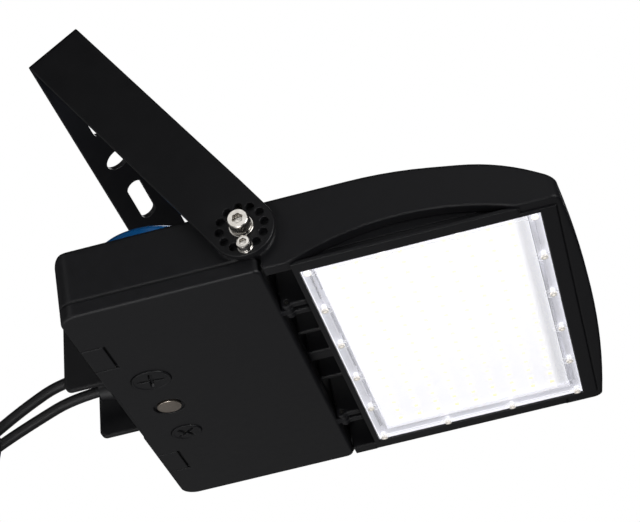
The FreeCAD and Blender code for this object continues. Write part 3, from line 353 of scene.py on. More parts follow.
def turned_brass():
    # Turned brass: yellow metal with lathe marks of about 0.3 mm and a slight tarnish of about 5 mm.
    def build(tree):
        place = add_node(tree, "ShaderNodeTexCoord").outputs["Object"]
        marks = add_node(
            tree, "ShaderNodeTexNoise", {"Vector": place, "Scale": 1 / (0.3 * MM), "Detail": 2.0}
        )
        tarnish = add_node(
            tree, "ShaderNodeTexNoise", {"Vector": place, "Scale": 1 / (5 * MM), "Detail": 3.0}
        )
        tone = add_node(
            tree, "ShaderNodeMix",
            {"Factor": tarnish.outputs["Fac"], "A": linear("d8bb78"), "B": linear("b08e4c")},
            data_type="RGBA",
        )
        sheen = add_node(
            tree, "ShaderNodeMapRange", {"Value": marks.outputs["Fac"], "To Min": 0.22, "To Max": 0.4}
        )
        return add_node(
            tree, "ShaderNodeBsdfPrincipled",
            {"Base Color": tone.outputs["Result"], "Metallic": 1.0, "Roughness": sheen.outputs["Result"]},
        )

    return finish("turned_brass", build)


def nickel_disc():
    # Satin nickel on a pressed brass disc: warm silver, brushed one way in lines of about 0.4 mm.
    def build(tree):
        place = add_node(tree, "ShaderNodeTexCoord").outputs["Object"]
        along = add_node(
            tree, "ShaderNodeMapping", {"Vector": place, "Scale": (0.15, 1.0, 0.15)}, vector_type="POINT"
        )
        lines = add_node(
            tree, "ShaderNodeTexNoise",
            {"Vector": along.outputs["Vector"], "Scale": 1 / (0.4 * MM), "Detail": 3.0},
        )
        sheen = add_node(
            tree, "ShaderNodeMapRange", {"Value": lines.outputs["Fac"], "To Min": 0.2, "To Max": 0.42}
        )
        tone = add_node(
            tree, "ShaderNodeMix",
            {"Factor": lines.outputs["Fac"], "A": linear("c9bfb4"), "B": linear("a89c90")}, data_type="RGBA",
        )
        bump = add_node(
            tree, "ShaderNodeBump", {"Height": lines.outputs["Fac"], "Strength": 0.2, "Distance": 0.08 * MM}
        )
        return add_node(
            tree, "ShaderNodeBsdfPrincipled",
            {
                "Base Color": tone.outputs["Result"],
                "Metallic": 1.0,
                "Roughness": sheen.outputs["Result"],
                "Normal": bump.outputs["Normal"],
            },
        )

    return finish("brushed_nickel_plate", build)


def jacket_pvc():
    # Extruded black cable jacket: dull, with a fine grain, drawn at 0.7 mm, and a dusty bloom of about 10 mm.
    def build(tree):
        place = add_node(tree, "ShaderNodeTexCoord").outputs["Object"]
        grain = add_node(
            tree, "ShaderNodeTexNoise", {"Vector": place, "Scale": 1 / (0.7 * MM), "Detail": 2.0}
        )
        bloom = add_node(tree, "ShaderNodeTexNoise", {"Vector": place, "Scale": 1 / (10 * MM), "Detail": 2.0})
        tone = add_node(
            tree, "ShaderNodeMix",
            {"Factor": bloom.outputs["Fac"], "A": colours().jacket, "B": linear("212123")}, data_type="RGBA",
        )
        sheen = add_node(
            tree, "ShaderNodeMapRange", {"Value": bloom.outputs["Fac"], "To Min": 0.42, "To Max": 0.56}
        )
        bump = add_node(
            tree, "ShaderNodeBump", {"Height": grain.outputs["Fac"], "Strength": 0.12, "Distance": 0.1 * MM}
        )
        return add_node(
            tree, "ShaderNodeBsdfPrincipled",
            {
                "Base Color": tone.outputs["Result"],
                "Roughness": sheen.outputs["Result"],
                "Normal": bump.outputs["Normal"],
                "IOR": 1.53,
            },
        )

    return finish("extruded_black_pvc", build)


def moulded(name, colour, shade, dull, bright, ior):
    # Injection-moulded plastic: even colour with slight flow marks of about 15 mm and a spark-eroded mould
    # grain of about 0.3 mm, drawn at 0.7 mm.
    def build(tree):
        place = add_node(tree, "ShaderNodeTexCoord").outputs["Object"]
        flow = add_node(tree, "ShaderNodeTexNoise", {"Vector": place, "Scale": 1 / (15 * MM), "Detail": 2.0})
        grain = add_node(
            tree, "ShaderNodeTexNoise", {"Vector": place, "Scale": 1 / (0.7 * MM), "Detail": 2.0}
        )
        tone = add_node(
            tree, "ShaderNodeMix", {"Factor": flow.outputs["Fac"], "A": colour, "B": shade}, data_type="RGBA"
        )
        sheen = add_node(
            tree, "ShaderNodeMapRange", {"Value": flow.outputs["Fac"], "To Min": bright, "To Max": dull}
        )
        bump = add_node(
            tree, "ShaderNodeBump", {"Height": grain.outputs["Fac"], "Strength": 0.08, "Distance": 0.08 * MM}
        )
        return add_node(
            tree, "ShaderNodeBsdfPrincipled",
            {
                "Base Color": tone.outputs["Result"],
                "Roughness": sheen.outputs["Result"],
                "Normal": bump.outputs["Normal"],
                "IOR": ior,
            },
        )

    return finish(name, build)


def blue_polypropylene():
    return moulded(
        "moulded_blue_polypropylene", colours().cap, linear("105da1"), dull=0.32, bright=0.2, ior=1.49
    )


def black_nylon():
    return moulded(
        "moulded_black_nylon", linear("1c1c1e"), linear("242427"), dull=0.5, bright=0.38, ior=1.53
    )


def grey_polycarbonate():
    return moulded(
        "moulded_grey_polycarbonate", linear("8b8e91"), linear("7c7f83"), dull=0.5, bright=0.35, ior=1.58
    )


def wire_insulation(name, hex_colour):
    colour = linear(hex_colour)
    return moulded(f"extruded_{name}_insulation", colour, colour, dull=0.45, bright=0.35, ior=1.53)


def silicone(name, hex_colour, shade, glow=0.0):
    # Moulded silicone seal: soft and dull, with a powdery bloom of about 3 mm. The white one is translucent,
    # and the board's light in it is painted on as a glow.
    def build(tree):
        place = add_node(tree, "ShaderNodeTexCoord").outputs["Object"]
        bloom = add_node(tree, "ShaderNodeTexNoise", {"Vector": place, "Scale": 1 / (3 * MM), "Detail": 3.0})
        tone = add_node(
            tree, "ShaderNodeMix",
            {"Factor": bloom.outputs["Fac"], "A": linear(hex_colour), "B": linear(shade)}, data_type="RGBA",
        )
        sheen = add_node(
            tree, "ShaderNodeMapRange", {"Value": bloom.outputs["Fac"], "To Min": 0.55, "To Max": 0.75}
        )
        return add_node(
            tree, "ShaderNodeBsdfPrincipled",
            {
                "Base Color": tone.outputs["Result"],
                "Roughness": sheen.outputs["Result"],
                "IOR": 1.41,
                "Emission Color": tone.outputs["Result"],
                "Emission Strength": glow,
            },
        )

    return finish(name, build)


def white_silicone():
    # Painted light: the white seal's glow stands for the board's light falling on it.
    return silicone("moulded_white_silicone", "efeff3", "e9e9ed", glow=0.36)


def black_silicone():
    return silicone("moulded_black_silicone", "1a1a1b", "262628")


def clear_surface(tree):
    """What the faces of clear polycarbonate do: let through, with a gloss that grows towards the edge."""
    place = add_node(tree, "ShaderNodeTexCoord").outputs["Object"]
    wave = add_node(tree, "ShaderNodeTexNoise", {"Vector": place, "Scale": 1 / (20 * MM), "Detail": 1.0})
    flat = add_node(tree, "ShaderNodeNewGeometry").outputs["True Normal"]
    bump = add_node(
        tree, "ShaderNodeBump",
        {"Height": wave.outputs["Fac"], "Strength": 0.02, "Distance": 0.3 * MM, "Normal": flat},
    )
    facing = add_node(tree, "ShaderNodeLayerWeight", {"Blend": 0.5, "Normal": bump.outputs["Normal"]})
    rise = add_node(tree, "ShaderNodeMath", {0: facing.outputs["Facing"], 1: 4.0}, operation="POWER")
    edge = add_node(tree, "ShaderNodeMapRange", {"Value": rise.outputs[0], "To Min": 0.05, "To Max": 0.9})
    through = add_node(tree, "ShaderNodeBsdfTransparent", {"Color": linear("f8f8fa")})
    gloss = add_node(
        tree, "ShaderNodeBsdfGlossy",
        {"Color": linear("ffffff"), "Roughness": 0.06, "Normal": bump.outputs["Normal"]},
    )
    return add_node(
        tree, "ShaderNodeMixShader",
        {0: edge.outputs[0], 1: through.outputs[0], 2: gloss.outputs[0]},
    )


def clear_polycarbonate():
    # Clear moulded polycarbonate: seen through, with a glossy surface that is a little wavy over 20 mm.
    return finish("moulded_clear_polycarbonate", clear_surface)


# The lens plate's outer face is at this height in the level head, with the middle panel's low wall below it.
PLATE_FACE = 1.5 * MM
FACE_BLEND = 0.1 * MM
# Painted light on the plate's walls: a dimmer glow on the low wall as painted shade, a brighter glow on the
# rim.
PANEL_WALL_SHADED_GLOW = 0.35
PLATE_RIM_GLOW = 0.75


def lens_polycarbonate():
    # The same, over the lamp: its walls get painted light. The rim glows, standing for light that is piped
    # through the plate, and the low wall of the middle panel and of the bosses glows less, a painted shade
    # that reads as a thin grey line.
    def build(tree):
        normal = add_node(tree, "ShaderNodeTexCoord").outputs["Normal"]
        across = add_node(
            tree, "ShaderNodeVectorMath", {0: normal, 1: HEAD.to_3x3() @ Vector((0, 0, 1))},
            operation="DOT_PRODUCT",
        )
        flat = add_node(tree, "ShaderNodeMath", {0: across.outputs["Value"]}, operation="ABSOLUTE")
        wall = add_node(
            tree, "ShaderNodeMapRange",
            {"Value": flat.outputs[0], "From Min": 0.3, "From Max": 0.6, "To Min": 1.0, "To Max": 0.0},
        )
        rim = add_node(
            tree, "ShaderNodeMapRange",
            {
                "Value": head_place(tree).outputs["Z"],
                "From Min": PLATE_FACE - FACE_BLEND,
                "From Max": PLATE_FACE + FACE_BLEND,
                "To Min": PANEL_WALL_SHADED_GLOW,
                "To Max": PLATE_RIM_GLOW,
            },
        )
        glowing = add_node(
            tree, "ShaderNodeBsdfPrincipled",
            {
                "Base Color": linear("d8d9dd"),
                "Roughness": 0.25,
                "IOR": 1.58,
                "Emission Color": linear("f2f2f4"),
                "Emission Strength": rim.outputs["Result"],
            },
        )
        return add_node(
            tree, "ShaderNodeMixShader",
            {0: wall.outputs["Result"], 1: clear_surface(tree).outputs[0], 2: glowing.outputs[0]},
        )

    return finish("moulded_clear_lens_polycarbonate", build)


# The lit field in the level head: its middle along X, half its width, and the band in which its light fades.
FIELD_MIDDLE = 229.5 * MM
FIELD_HALF_WIDTH = 62 * MM
FIELD_FADE = 6 * MM
# Painted light: the glow that the board keeps beyond the chip field.
BOARD_END_GLOW = 0.64


def lit_board():
    # White solder mask on an aluminium board under lit chips: a painted glow stands for the chips' light that
    # floods it over the chip field, and a weaker painted glow lies on the plainer white beyond it, towards
    # the two ends.
    def build(tree):
        from_middle = add_node(
            tree, "ShaderNodeMath", {0: head_place(tree).outputs["X"], 1: FIELD_MIDDLE}, operation="SUBTRACT"
        )
        away = add_node(tree, "ShaderNodeMath", {0: from_middle.outputs[0]}, operation="ABSOLUTE")
        lit = add_node(
            tree, "ShaderNodeMapRange",
            {
                "Value": away.outputs[0],
                "From Min": FIELD_HALF_WIDTH,
                "From Max": FIELD_HALF_WIDTH + FIELD_FADE,
                "To Min": sizes().lamp_strength,
                "To Max": BOARD_END_GLOW,
            },
            interpolation_type="SMOOTHSTEP",
        )
        return add_node(
            tree, "ShaderNodeBsdfPrincipled",
            {
                "Base Color": linear("e9eaec"),
                "Roughness": 0.5,
                "Emission Color": colours().glow,
                "Emission Strength": lit.outputs["Result"],
            },
        )

    return finish("white_solder_mask", build)


# The rows of chips along the level head's Y over which their glow falls off towards the far side.
FAR_ROWS_START = 90 * MM
FAR_ROWS_END = 122 * MM
CHIP_GLOW = 1.7
FAR_CHIP_GLOW = 1.25


def lit_phosphor():
    # Silicone with yellow phosphor over each chip, lit: a warm dot in the white field, warmer in the far
    # rows, which are less bright.
    def build(tree):
        bright = add_node(
            tree, "ShaderNodeMapRange",
            {
                "Value": head_place(tree).outputs["Y"],
                "From Min": FAR_ROWS_START,
                "From Max": FAR_ROWS_END,
                "To Min": CHIP_GLOW,
                "To Max": FAR_CHIP_GLOW,
            },
        )
        return add_node(
            tree, "ShaderNodeBsdfPrincipled",
            {
                "Base Color": linear("f0d880"),
                "Roughness": 0.4,
                "Emission Color": colours().chip,
                "Emission Strength": bright.outputs["Result"],
            },
        )

    return finish("phosphor_in_silicone", build)


def extruded_case():
    # Extruded aluminium, clear anodised: silver grey, with die lines of about 1 mm along its length.
    def build(tree):
        place = add_node(tree, "ShaderNodeTexCoord").outputs["Object"]
        along = add_node(tree, "ShaderNodeMapping", {"Vector": place, "Scale": (1.0, 0.02, 1.0)})
        lines = add_node(
            tree, "ShaderNodeTexNoise", {"Vector": along.outputs["Vector"], "Scale": 1 / MM, "Detail": 3.0}
        )
        tone = add_node(
            tree, "ShaderNodeMix",
            {"Factor": lines.outputs["Fac"], "A": linear("b9bcbf"), "B": linear("a2a5a8")}, data_type="RGBA",
        )
        sheen = add_node(
            tree, "ShaderNodeMapRange", {"Value": lines.outputs["Fac"], "To Min": 0.34, "To Max": 0.52}
        )
        return add_node(
            tree, "ShaderNodeBsdfPrincipled",
            {"Base Color": tone.outputs["Result"], "Metallic": 0.9, "Roughness": sheen.outputs["Result"]},
        )

    return finish("anodised_extruded_aluminium", build)


def tinned_strands():
    # Twisted copper strands, tinned at the tip: fine ridges of about 0.25 mm, whose light and shade is
    # painted as bands of lighter and darker copper, with no bump.
    def build(tree):
        place = add_node(tree, "ShaderNodeTexCoord").outputs["Object"]
        ridges = add_node(
            tree, "ShaderNodeTexWave", {"Vector": place, "Scale": 1 / (4 * MM), "Distortion": 1.0},
            bands_direction="DIAGONAL",
        )
        tone = add_node(
            tree, "ShaderNodeMix",
            {"Factor": ridges.outputs["Fac"], "A": linear("8c5330"), "B": linear("d08a5c")}, data_type="RGBA",
        )
        return add_node(
            tree, "ShaderNodeBsdfPrincipled",
            {"Base Color": tone.outputs["Result"], "Metallic": 1.0, "Roughness": 0.32},
        )

    return finish("stranded_copper", build)


FLOOR_GLOW = 0.7


def studio_floor():
    # Pale matt studio board with a mottle of about 167 mm. The camera sees it as brightly lit as the
    # backdrop, so that it stays pale under the soft light on the black part.
    def build(tree):
        place = add_node(tree, "ShaderNodeTexCoord").outputs["Object"]
        mottle = add_node(
            tree, "ShaderNodeTexNoise", {"Vector": place, "Scale": 1 / (166.7 * MM), "Detail": 2.0}
        )
        tone = add_node(
            tree, "ShaderNodeMix",
            {"Factor": mottle.outputs["Fac"], "A": linear("f1f1f1"), "B": linear("ececec")}, data_type="RGBA",
        )
        ray = add_node(tree, "ShaderNodeLightPath")
        seen = add_node(
            tree, "ShaderNodeMath", {0: ray.outputs["Is Camera Ray"], 1: FLOOR_GLOW}, operation="MULTIPLY"
        )
        return add_node(
            tree, "ShaderNodeBsdfPrincipled",
            {
                "Base Color": tone.outputs["Result"],
                "Roughness": 0.6,
                "Emission Color": tone.outputs["Result"],
                "Emission Strength": seen.outputs[0],
            },
        )

    return finish("painted_studio_board", build)


def coat(node, material):
    """Gives a CAD node its material."""
    piece = NODES[node]
    piece.data.materials.clear()
    piece.data.materials.append(material)
    return piece


# In a CAD mesh, points this close are one, faces this level are one flat, and sharper edges than this are
# rounded. In a mesh made here, sharper edges than the last angle stay sharp.
WELD_DISTANCE = 0.002 * MM
FLAT_ANGLE = math.radians(0.5)
ROUNDED_ANGLE = math.radians(32)
SHARP_ANGLE = math.radians(35)


def soften(node, width, segments=2):
    """Rounds a CAD node's edges by a fraction of a millimetre, over its own mesh."""
    piece = NODES[node]
    for layer in ("custom_normal", "sharp_edge", "sharp_face"):
        stored = piece.data.attributes.get(layer)
        if stored is not None:
            piece.data.attributes.remove(stored)
    weld = piece.modifiers.new("joined_faces", "WELD")
    weld.merge_threshold = WELD_DISTANCE
    flats = piece.modifiers.new("whole_flats", "DECIMATE")
    flats.decimate_type = "DISSOLVE"
    flats.angle_limit = FLAT_ANGLE
    edge = piece.modifiers.new("rounded_edges", "BEVEL")
    edge.width = width
    edge.segments = segments
    edge.limit_method = "ANGLE"
    edge.angle_limit = ROUNDED_ANGLE
    edge.use_clamp_overlap = False
    edge.harden_normals = True
    evened = piece.modifiers.new("even_shading", "WEIGHTED_NORMAL")
    evened.keep_sharp = True


def new_piece(name, mesh_data, material, body):
    """A finished mesh in the row frame, smooth but for its sharp edges, on its body."""
    mesh = bpy.data.meshes.new(name)
    mesh_data.normal_update()
    bmesh.ops.recalc_face_normals(mesh_data, faces=mesh_data.faces)
    mesh_data.to_mesh(mesh)
    mesh_data.free()
    mesh.polygons.foreach_set("use_smooth", [True] * len(mesh.polygons))
    mesh.set_sharp_from_angle(angle=SHARP_ANGLE)
    mesh.materials.append(material)
    piece = bpy.data.objects.new(name, mesh)
    bpy.context.scene.collection.objects.link(piece)
    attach(piece, body)
    return piece


def brighten(piece):
    """Puts a piece in the light of the softboxes that reach the bright metal alone."""
    bpy.data.collections[BRIGHT_METAL].objects.link(piece)


def outward(x, z, side):
    """A frame whose Z points out of the arm on that side, at a place in the row frame's X and Z."""
    return Matrix(((1, 0, 0, x), (0, 0, side, 0), (0, -side, 0, z), (0, 0, 0, 1)))


def under_head(x, y):
    """A frame whose Z points out of the door's outer face, at a place in the head."""
    return HEAD @ Matrix.Translation((x, y, 0)) @ Matrix.Rotation(math.pi, 4, "X")


def turned(mesh, rings, place, count, closed=False, phase=0.0):
    """Lofts rings about Z. Each ring is (radius or function of the angle, height), in millimetres.

    A closed section joins its last ring to its first. Otherwise a ring of no radius is a point.
    """
    loops = []
    for radius, height in rings:
        if not callable(radius) and radius == 0:
            loops.append([mesh.verts.new(place @ Vector((0, 0, height * MM)))])
            continue
        loop = []
        for i in range(count):
            angle = 2 * math.pi * i / count
            reach = (radius(angle) if callable(radius) else radius) * MM
            spot = Vector((reach * math.cos(angle + phase), reach * math.sin(angle + phase), height * MM))
            loop.append(mesh.verts.new(place @ spot))
        loops.append(loop)
    pairs = list(zip(loops, loops[1:]))
    if closed:
        pairs.append((loops[-1], loops[0]))
    for low, high in pairs:
        for i in range(count):
            j = (i + 1) % count
            if len(low) == 1:
                mesh.faces.new((low[0], high[i], high[j]))
            elif len(high) == 1:
                mesh.faces.new((low[i], low[j], high[0]))
            else:
                mesh.faces.new((low[i], low[j], high[j], high[i]))


def lobed(radius, depth, lobes):
    """A ring with rounded lobes, as in a worn-in hexagon socket."""
    return lambda angle: radius + depth * math.cos(lobes * angle)


def knurled(radius, depth, teeth):
    """A ring with straight knurling."""
    return lambda angle: radius - depth * abs(math.sin(teeth * angle / 2))


def crossed(half_arm, reach):
    """The outline of a cross slot."""
    nearly_zero = 1e-6

    def radius(angle):
        c = max(abs(math.cos(angle)), nearly_zero)
        s = max(abs(math.sin(angle)), nearly_zero)
        along = min(reach / c, half_arm / s)
        across = min(reach / s, half_arm / c)
        return max(along, across)

    return radius


class CapScrew(NamedTuple):
    """A cap screw and its washers, in millimetres: radii, the head's height, and the washers' thickness.

    Its tip is that far from the middle of the light.
    """

    thread: float
    head: float
    head_height: float
    tip: float
    washer: float
    spring: float
    bore: float
    washer_thickness: float
    spring_thickness: float


PIVOT_SCREW = CapScrew(
    thread=4, head=7, head_height=8, tip=139, washer=8, spring=7.2, bore=4.08,
    washer_thickness=1.6, spring_thickness=1.8,
)
LOCK_SCREW = CapScrew(
    thread=2.5, head=4.65, head_height=5, tip=158.3, washer=5, spring=4.65, bore=2.58,
    washer_thickness=1.0, spring_thickness=1.2,
)

# The lock screws' hole in the ring of index holes round each pivot.
INDEX_RADIUS = 14.7 * MM
LOCK_ANGLE = math.radians(330)

# The knurling and the hexagon socket of a cap screw, as shares of its head's radius or its socket's.
KNURL_TEETH = 36
KNURL_DEPTH = 0.022
SOCKET_SHARE = 0.255
LOBE_SHARE = 0.14
SCREW_TURN = 0.3

# Points in a ring that has teeth, lobes or slots.
FINE_RING = 144


def socket_screw(mesh, place, screw, seat):
    """A knurled cap screw with its head on a seat. Its rings are shares of the thread, head and socket."""
    thread, head, height, tip = screw.thread, screw.head, screw.head_height, screw.tip
    top = seat + height
    socket = head * SOCKET_SHARE
    lobe = socket * LOBE_SHARE
    side = knurled(head, head * KNURL_DEPTH, KNURL_TEETH)
    rings = [
        (0, tip),
        (thread * 0.75, tip),
        (thread, tip + thread * 0.25),
        (thread, seat),
        (head * 0.93, seat),
        (head * 0.97, seat + height * 0.03),
        (side, seat + height * 0.08),
        (side, seat + height * 0.84),
        (head * 0.97, seat + height * 0.9),
        (head * 0.95, seat + height * 0.955),
        (head * 0.88, top),
        (head * 0.6, top),
        (lobed(socket * 1.94, lobe, 6), top),
        (lobed(socket * 1.8, lobe, 6), top - height * 0.05),
        (lobed(socket * 1.78, lobe, 6), top - height * 0.5),
        (socket * 0.9, top - height * 0.53),
        (0, top - height * 0.6),
    ]
    turned(mesh, rings, place, count=FINE_RING, phase=SCREW_TURN)


def flat_washer(mesh, place, outer, inner, low, high):
    """A flat ring with broken edges."""
    edge = min(0.3, (high - low) * 0.25)
    rings = [
        (inner + edge, low),
        (outer - edge, low),
        (outer, low + edge),
        (outer, high - edge),
        (outer - edge, high),
        (inner + edge, high),
        (inner, high - edge),
        (inner, low + edge),
    ]
    turned(mesh, rings, place, count=72, closed=True)


def spring_washer(mesh, place, outer, inner, low, high):
    """A split ring, flattened under its screw, with its two ends a little apart."""
    steps = 70
    gap = math.radians(9)
    corner = 0.2
    offset = 0.12 * (high - low)
    section = [
        (inner, low + offset),
        (outer - corner, low + offset),
        (outer, low + offset + corner),
        (outer, high - offset - corner),
        (outer - corner, high - offset),
        (inner, high - offset),
    ]
    loops = []
    for i in range(steps + 1):
        share = i / steps
        angle = gap + (2 * math.pi - 2 * gap) * share
        lift = offset * (2 * share - 1)
        loop = []
        for radius, height in section:
            spot = Vector((radius * math.cos(angle), radius * math.sin(angle), height + lift)) * MM
            loop.append(mesh.verts.new(place @ spot))
        loops.append(loop)
    sides = len(section)
    for a, b in zip(loops, loops[1:]):
        for i in range(sides):
            j = (i + 1) % sides
            mesh.faces.new((a[i], a[j], b[j], b[i]))
    mesh.faces.new(loops[0])
    mesh.faces.new(list(reversed(loops[-1])))


# The door's captive screws and vent stand in one row along its rear edge, in millimetres in the head.
DOOR_ROW_X = 31
DOOR_SCREW_Y = 45
NEAR_HEAD_RADIUS = 13.5
FAR_HEAD_RADIUS = 10.75
NEAR_SLOT_TURN = math.radians(-8)
FAR_SLOT_TURN = math.radians(38)


def captive_screw(mesh, place, head, turn):
    """A captive screw with a cross slot in a dished head. Heights are from the door's outer face."""
    shank, tip, under = 3.5, -16, -1.6
    rings = [
        (0, tip),
        (shank - 0.7, tip),
        (shank, tip + 0.8),
        (shank, under),
        (head - 0.3, under),
        (head, under + 0.3),
        (head, 0.5),
        (head - 0.3, 0.9),
        (head - 0.8, 1.0),
        (head - 1.3, 0.9),
        (head - 1.6, 0.6),
        (head - 2.1, 0.6),
        (crossed(1.5, head * 0.72), 0.7),
        (crossed(1.35, head * 0.7), 0.55),
        (crossed(1.1, head * 0.6), -1.3),
        (0, -1.4),
    ]
    turned(mesh, rings, place, count=FINE_RING, phase=turn)


def vent_plug(mesh, place):
    """A pressed disc on a neck, held by a nut inside the door. Heights are from the door's outer face."""
    disc, neck, nut = 8.5, 6, lobed(8.6, 0.4, 6)
    nut_low, nut_high, under = -6, -3, -1.5
    rings = [
        (0, nut_low),
        (neck - 1, nut_low),
        (nut, nut_low),
        (nut, nut_high),
        (neck, nut_high),
        (neck, under),
        (disc - 0.3, under),
        (disc, under + 0.3),
        (disc, 0.1),
        (disc - 0.2, 0.35),
        (disc - 0.6, 0.42),
        (disc - 0.9, 0.3),
        (disc - 1.2, 0.38),
        (3.6, 0.48),
        (0, 0.5),
    ]
    turned(mesh, rings, place, count=96)


class FLOODLIGHT_OT_yoke(bpy.types.Operator):
    """Coats the yoke strap and rounds its edges."""

    bl_idname = "floodlight.yoke"
    bl_label = "Yoke"

    def execute(self, context):
        coat("yoke_bracket", powder_coat_strap())
        soften("yoke_bracket", sizes().strap_edge)
        return {"FINISHED"}


class FLOODLIGHT_OT_castings(bpy.types.Operator):
    """Coats the housing, heat sink, lens frame and driver door."""

    bl_idname = "floodlight.castings"
    bl_label = "Castings"

    def execute(self, context):
        coat("housing", powder_coat_casting("powder_coated_die_cast_housing", HOUSING_LIP))
        for node in ("heat_sink", "lens_frame", "driver_door"):
            coat(node, powder_coat_casting())
        for node in ("housing", "heat_sink", "driver_door"):
            soften(node, sizes().casting_edge)
        soften("lens_frame", sizes().frame_edge)
        return {"FINISHED"}


class FLOODLIGHT_OT_pivot_fasteners(bpy.types.Operator):
    """Makes the pivot and lock screws, their washers and the inserts behind them."""

    bl_idname = "floodlight.pivot_fasteners"
    bl_label = "Pivot fasteners"

    def execute(self, context):
        arm = ARM_OUTSIDE / MM
        lock = PIVOT + INDEX_RADIUS * Vector((math.cos(LOCK_ANGLE), 0, math.sin(LOCK_ANGLE)))
        groups = (("pivot", "head", PIVOT, PIVOT_SCREW), ("lock", "yoke", lock, LOCK_SCREW))
        for name, body, spot, screw in groups:
            screws, springs, flats = bmesh.new(), bmesh.new(), bmesh.new()
            spring_seat = arm + screw.washer_thickness
            head_seat = spring_seat + screw.spring_thickness
            for side in (-1, 1):
                place = outward(spot.x, spot.z, side)
                socket_screw(screws, place, screw, head_seat)
                spring_washer(springs, place, screw.spring, screw.bore, spring_seat, head_seat)
                flat_washer(flats, place, screw.washer, screw.bore, arm, spring_seat)
            for piece_name, mesh_data, node in (
                (f"{name}_cap_screws", screws, f"{name}_bolts"),
                (f"{name}_split_washers", springs, f"{name}_spring_washers"),
                (f"{name}_flat_washers", flats, f"{name}_washers"),
            ):
                piece = new_piece(piece_name, mesh_data, turned_stainless(), body)
                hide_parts(node)
                brighten(piece)
        brighten(coat("lock_inserts", turned_stainless()))
        return {"FINISHED"}


class FLOODLIGHT_OT_door_fittings(bpy.types.Operator):
    """Makes the captive screws and the vent of the driver door, and finishes its seal and hinge pins."""

    bl_idname = "floodlight.door_fittings"
    bl_label = "Door fittings"

    def execute(self, context):
        for name, node, body, y, head, turn in (
            (
                "near_captive_screw", "near_door_screw", "near_screw",
                -DOOR_SCREW_Y, NEAR_HEAD_RADIUS, NEAR_SLOT_TURN,
            ),
            (
                "far_captive_screw", "far_door_screw", "far_screw",
                DOOR_SCREW_Y, FAR_HEAD_RADIUS, FAR_SLOT_TURN,
            ),
        ):
            screw = bmesh.new()
            captive_screw(screw, under_head(DOOR_ROW_X * MM, y * MM), head, turn)
            piece = new_piece(name, screw, powder_coat_casting(), body)
            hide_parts(node)
        vent = bmesh.new()
        vent_plug(vent, under_head(DOOR_ROW_X * MM, 0))
        piece = new_piece("breather_disc", vent, nickel_disc(), "door")
        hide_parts("breather_vent")
        brighten(piece)
        coat("door_gasket", black_silicone())
        coat("hinge_pins", turned_stainless())
        return {"FINISHED"}


class FLOODLIGHT_OT_lamp(bpy.types.Operator):
    """Lights the board and its chips, and finishes the lens, its seal and its screws."""

    bl_idname = "floodlight.lamp"
    bl_label = "Lamp"

    def execute(self, context):
        coat("led_board", lit_board())
        coat("led_chips", lit_phosphor())
        coat("lens_plate", lens_polycarbonate())
        coat("lens_gasket", white_silicone())
        coat("lens_screws", glaring_stainless())
        return {"FINISHED"}


class FLOODLIGHT_OT_driver_gear(bpy.types.Operator):
    """Finishes the driver, its screws, the surge protector and the terminal block."""

    bl_idname = "floodlight.driver_gear"
    bl_label = "Driver gear"

    def execute(self, context):
        coat("driver", extruded_case())
        coat("driver_brackets", zinc_plate())
        coat("driver_screws", zinc_plate())
        coat("surge_protector", grey_polycarbonate())
        coat("terminal_block", grey_polycarbonate())
        for node in ("driver", "surge_protector", "terminal_block"):
            soften(node, sizes().moulded_edge)
        return {"FINISHED"}


class FLOODLIGHT_OT_photocontrol(bpy.types.Operator):
    """Finishes the twist-lock cap, its window and blades, and the socket under it."""

    bl_idname = "floodlight.photocontrol"
    bl_label = "Photocontrol"

    def execute(self, context):
        coat("photocontrol_cap", blue_polypropylene())
        soften("photocontrol_cap", sizes().cap_edge, segments=3)
        coat("sensor_window", clear_polycarbonate())
        coat("contact_blades", turned_brass())
        coat("photocontrol_socket", black_nylon())
        coat("socket_gasket", black_silicone())
        return {"FINISHED"}


# Where each cable goes from its gland, in millimetres.
POWER_ROUTE = (
    (143.92, -14, -113.06),
    (127.86, -14, -139.58),
    (123.72, -14, -172.86),
    (123.02, -14, -204.86),
    (123.02, -14, -236.86),
)
CONTROL_ROUTE = (
    (143.92, 14, -113.06),
    (127.86, 14, -139.58),
    (121.02, 14, -173.86),
    (116.02, 14, -206.86),
    (114.52, 14, -239.96),
    (114.52, 14, -296.06),
)
POINTS_IN_TURN = 16

# Each cable's length in metres, from its gland to the cut end of its jacket, and the wires that it shows.
POWER_LENGTH = 0.955
CONTROL_LENGTH = 1.015
POWER_WIRES = (("black", "1a1a1a"), ("white", "e6e4df"), ("green", "1f7a3a"))
CONTROL_WIRES = (("violet", "6a4a9a"), ("grey", "8f9092"))
WIRE_DIAMETER = 2.6 * MM
WIRE_SPREAD = 1.9 * MM
STRAND_DIAMETER = 1.5 * MM

# Points along a wire, as shares of its length and of the spread that it gains, and along its bare tip, in
# millimetres from the end of its insulation.
WIRE_POINTS = ((-0.08, 0), (0.3, 0), (0.65, 0.35), (1.0, 0.7))
TIP_POINTS = (-1, 3, 5.5, 8)


def nurbs(name, points, diameter, material):
    """A round line through control points, in metres."""
    curve = bpy.data.curves.new(name, "CURVE")
    curve.dimensions = "3D"
    curve.resolution_u = 8
    curve.bevel_depth = diameter / 2
    curve.bevel_resolution = 8
    curve.use_fill_caps = True
    spline = curve.splines.new("NURBS")
    spline.points.add(len(points) - 1)
    for spot, point in zip(spline.points, points):
        spot.co = (*point, 1.0)
    spline.order_u = 3
    spline.use_endpoint_u = True
    curve.materials.append(material)
    piece = bpy.data.objects.new(name, curve)
    bpy.context.scene.collection.objects.link(piece)
    return piece


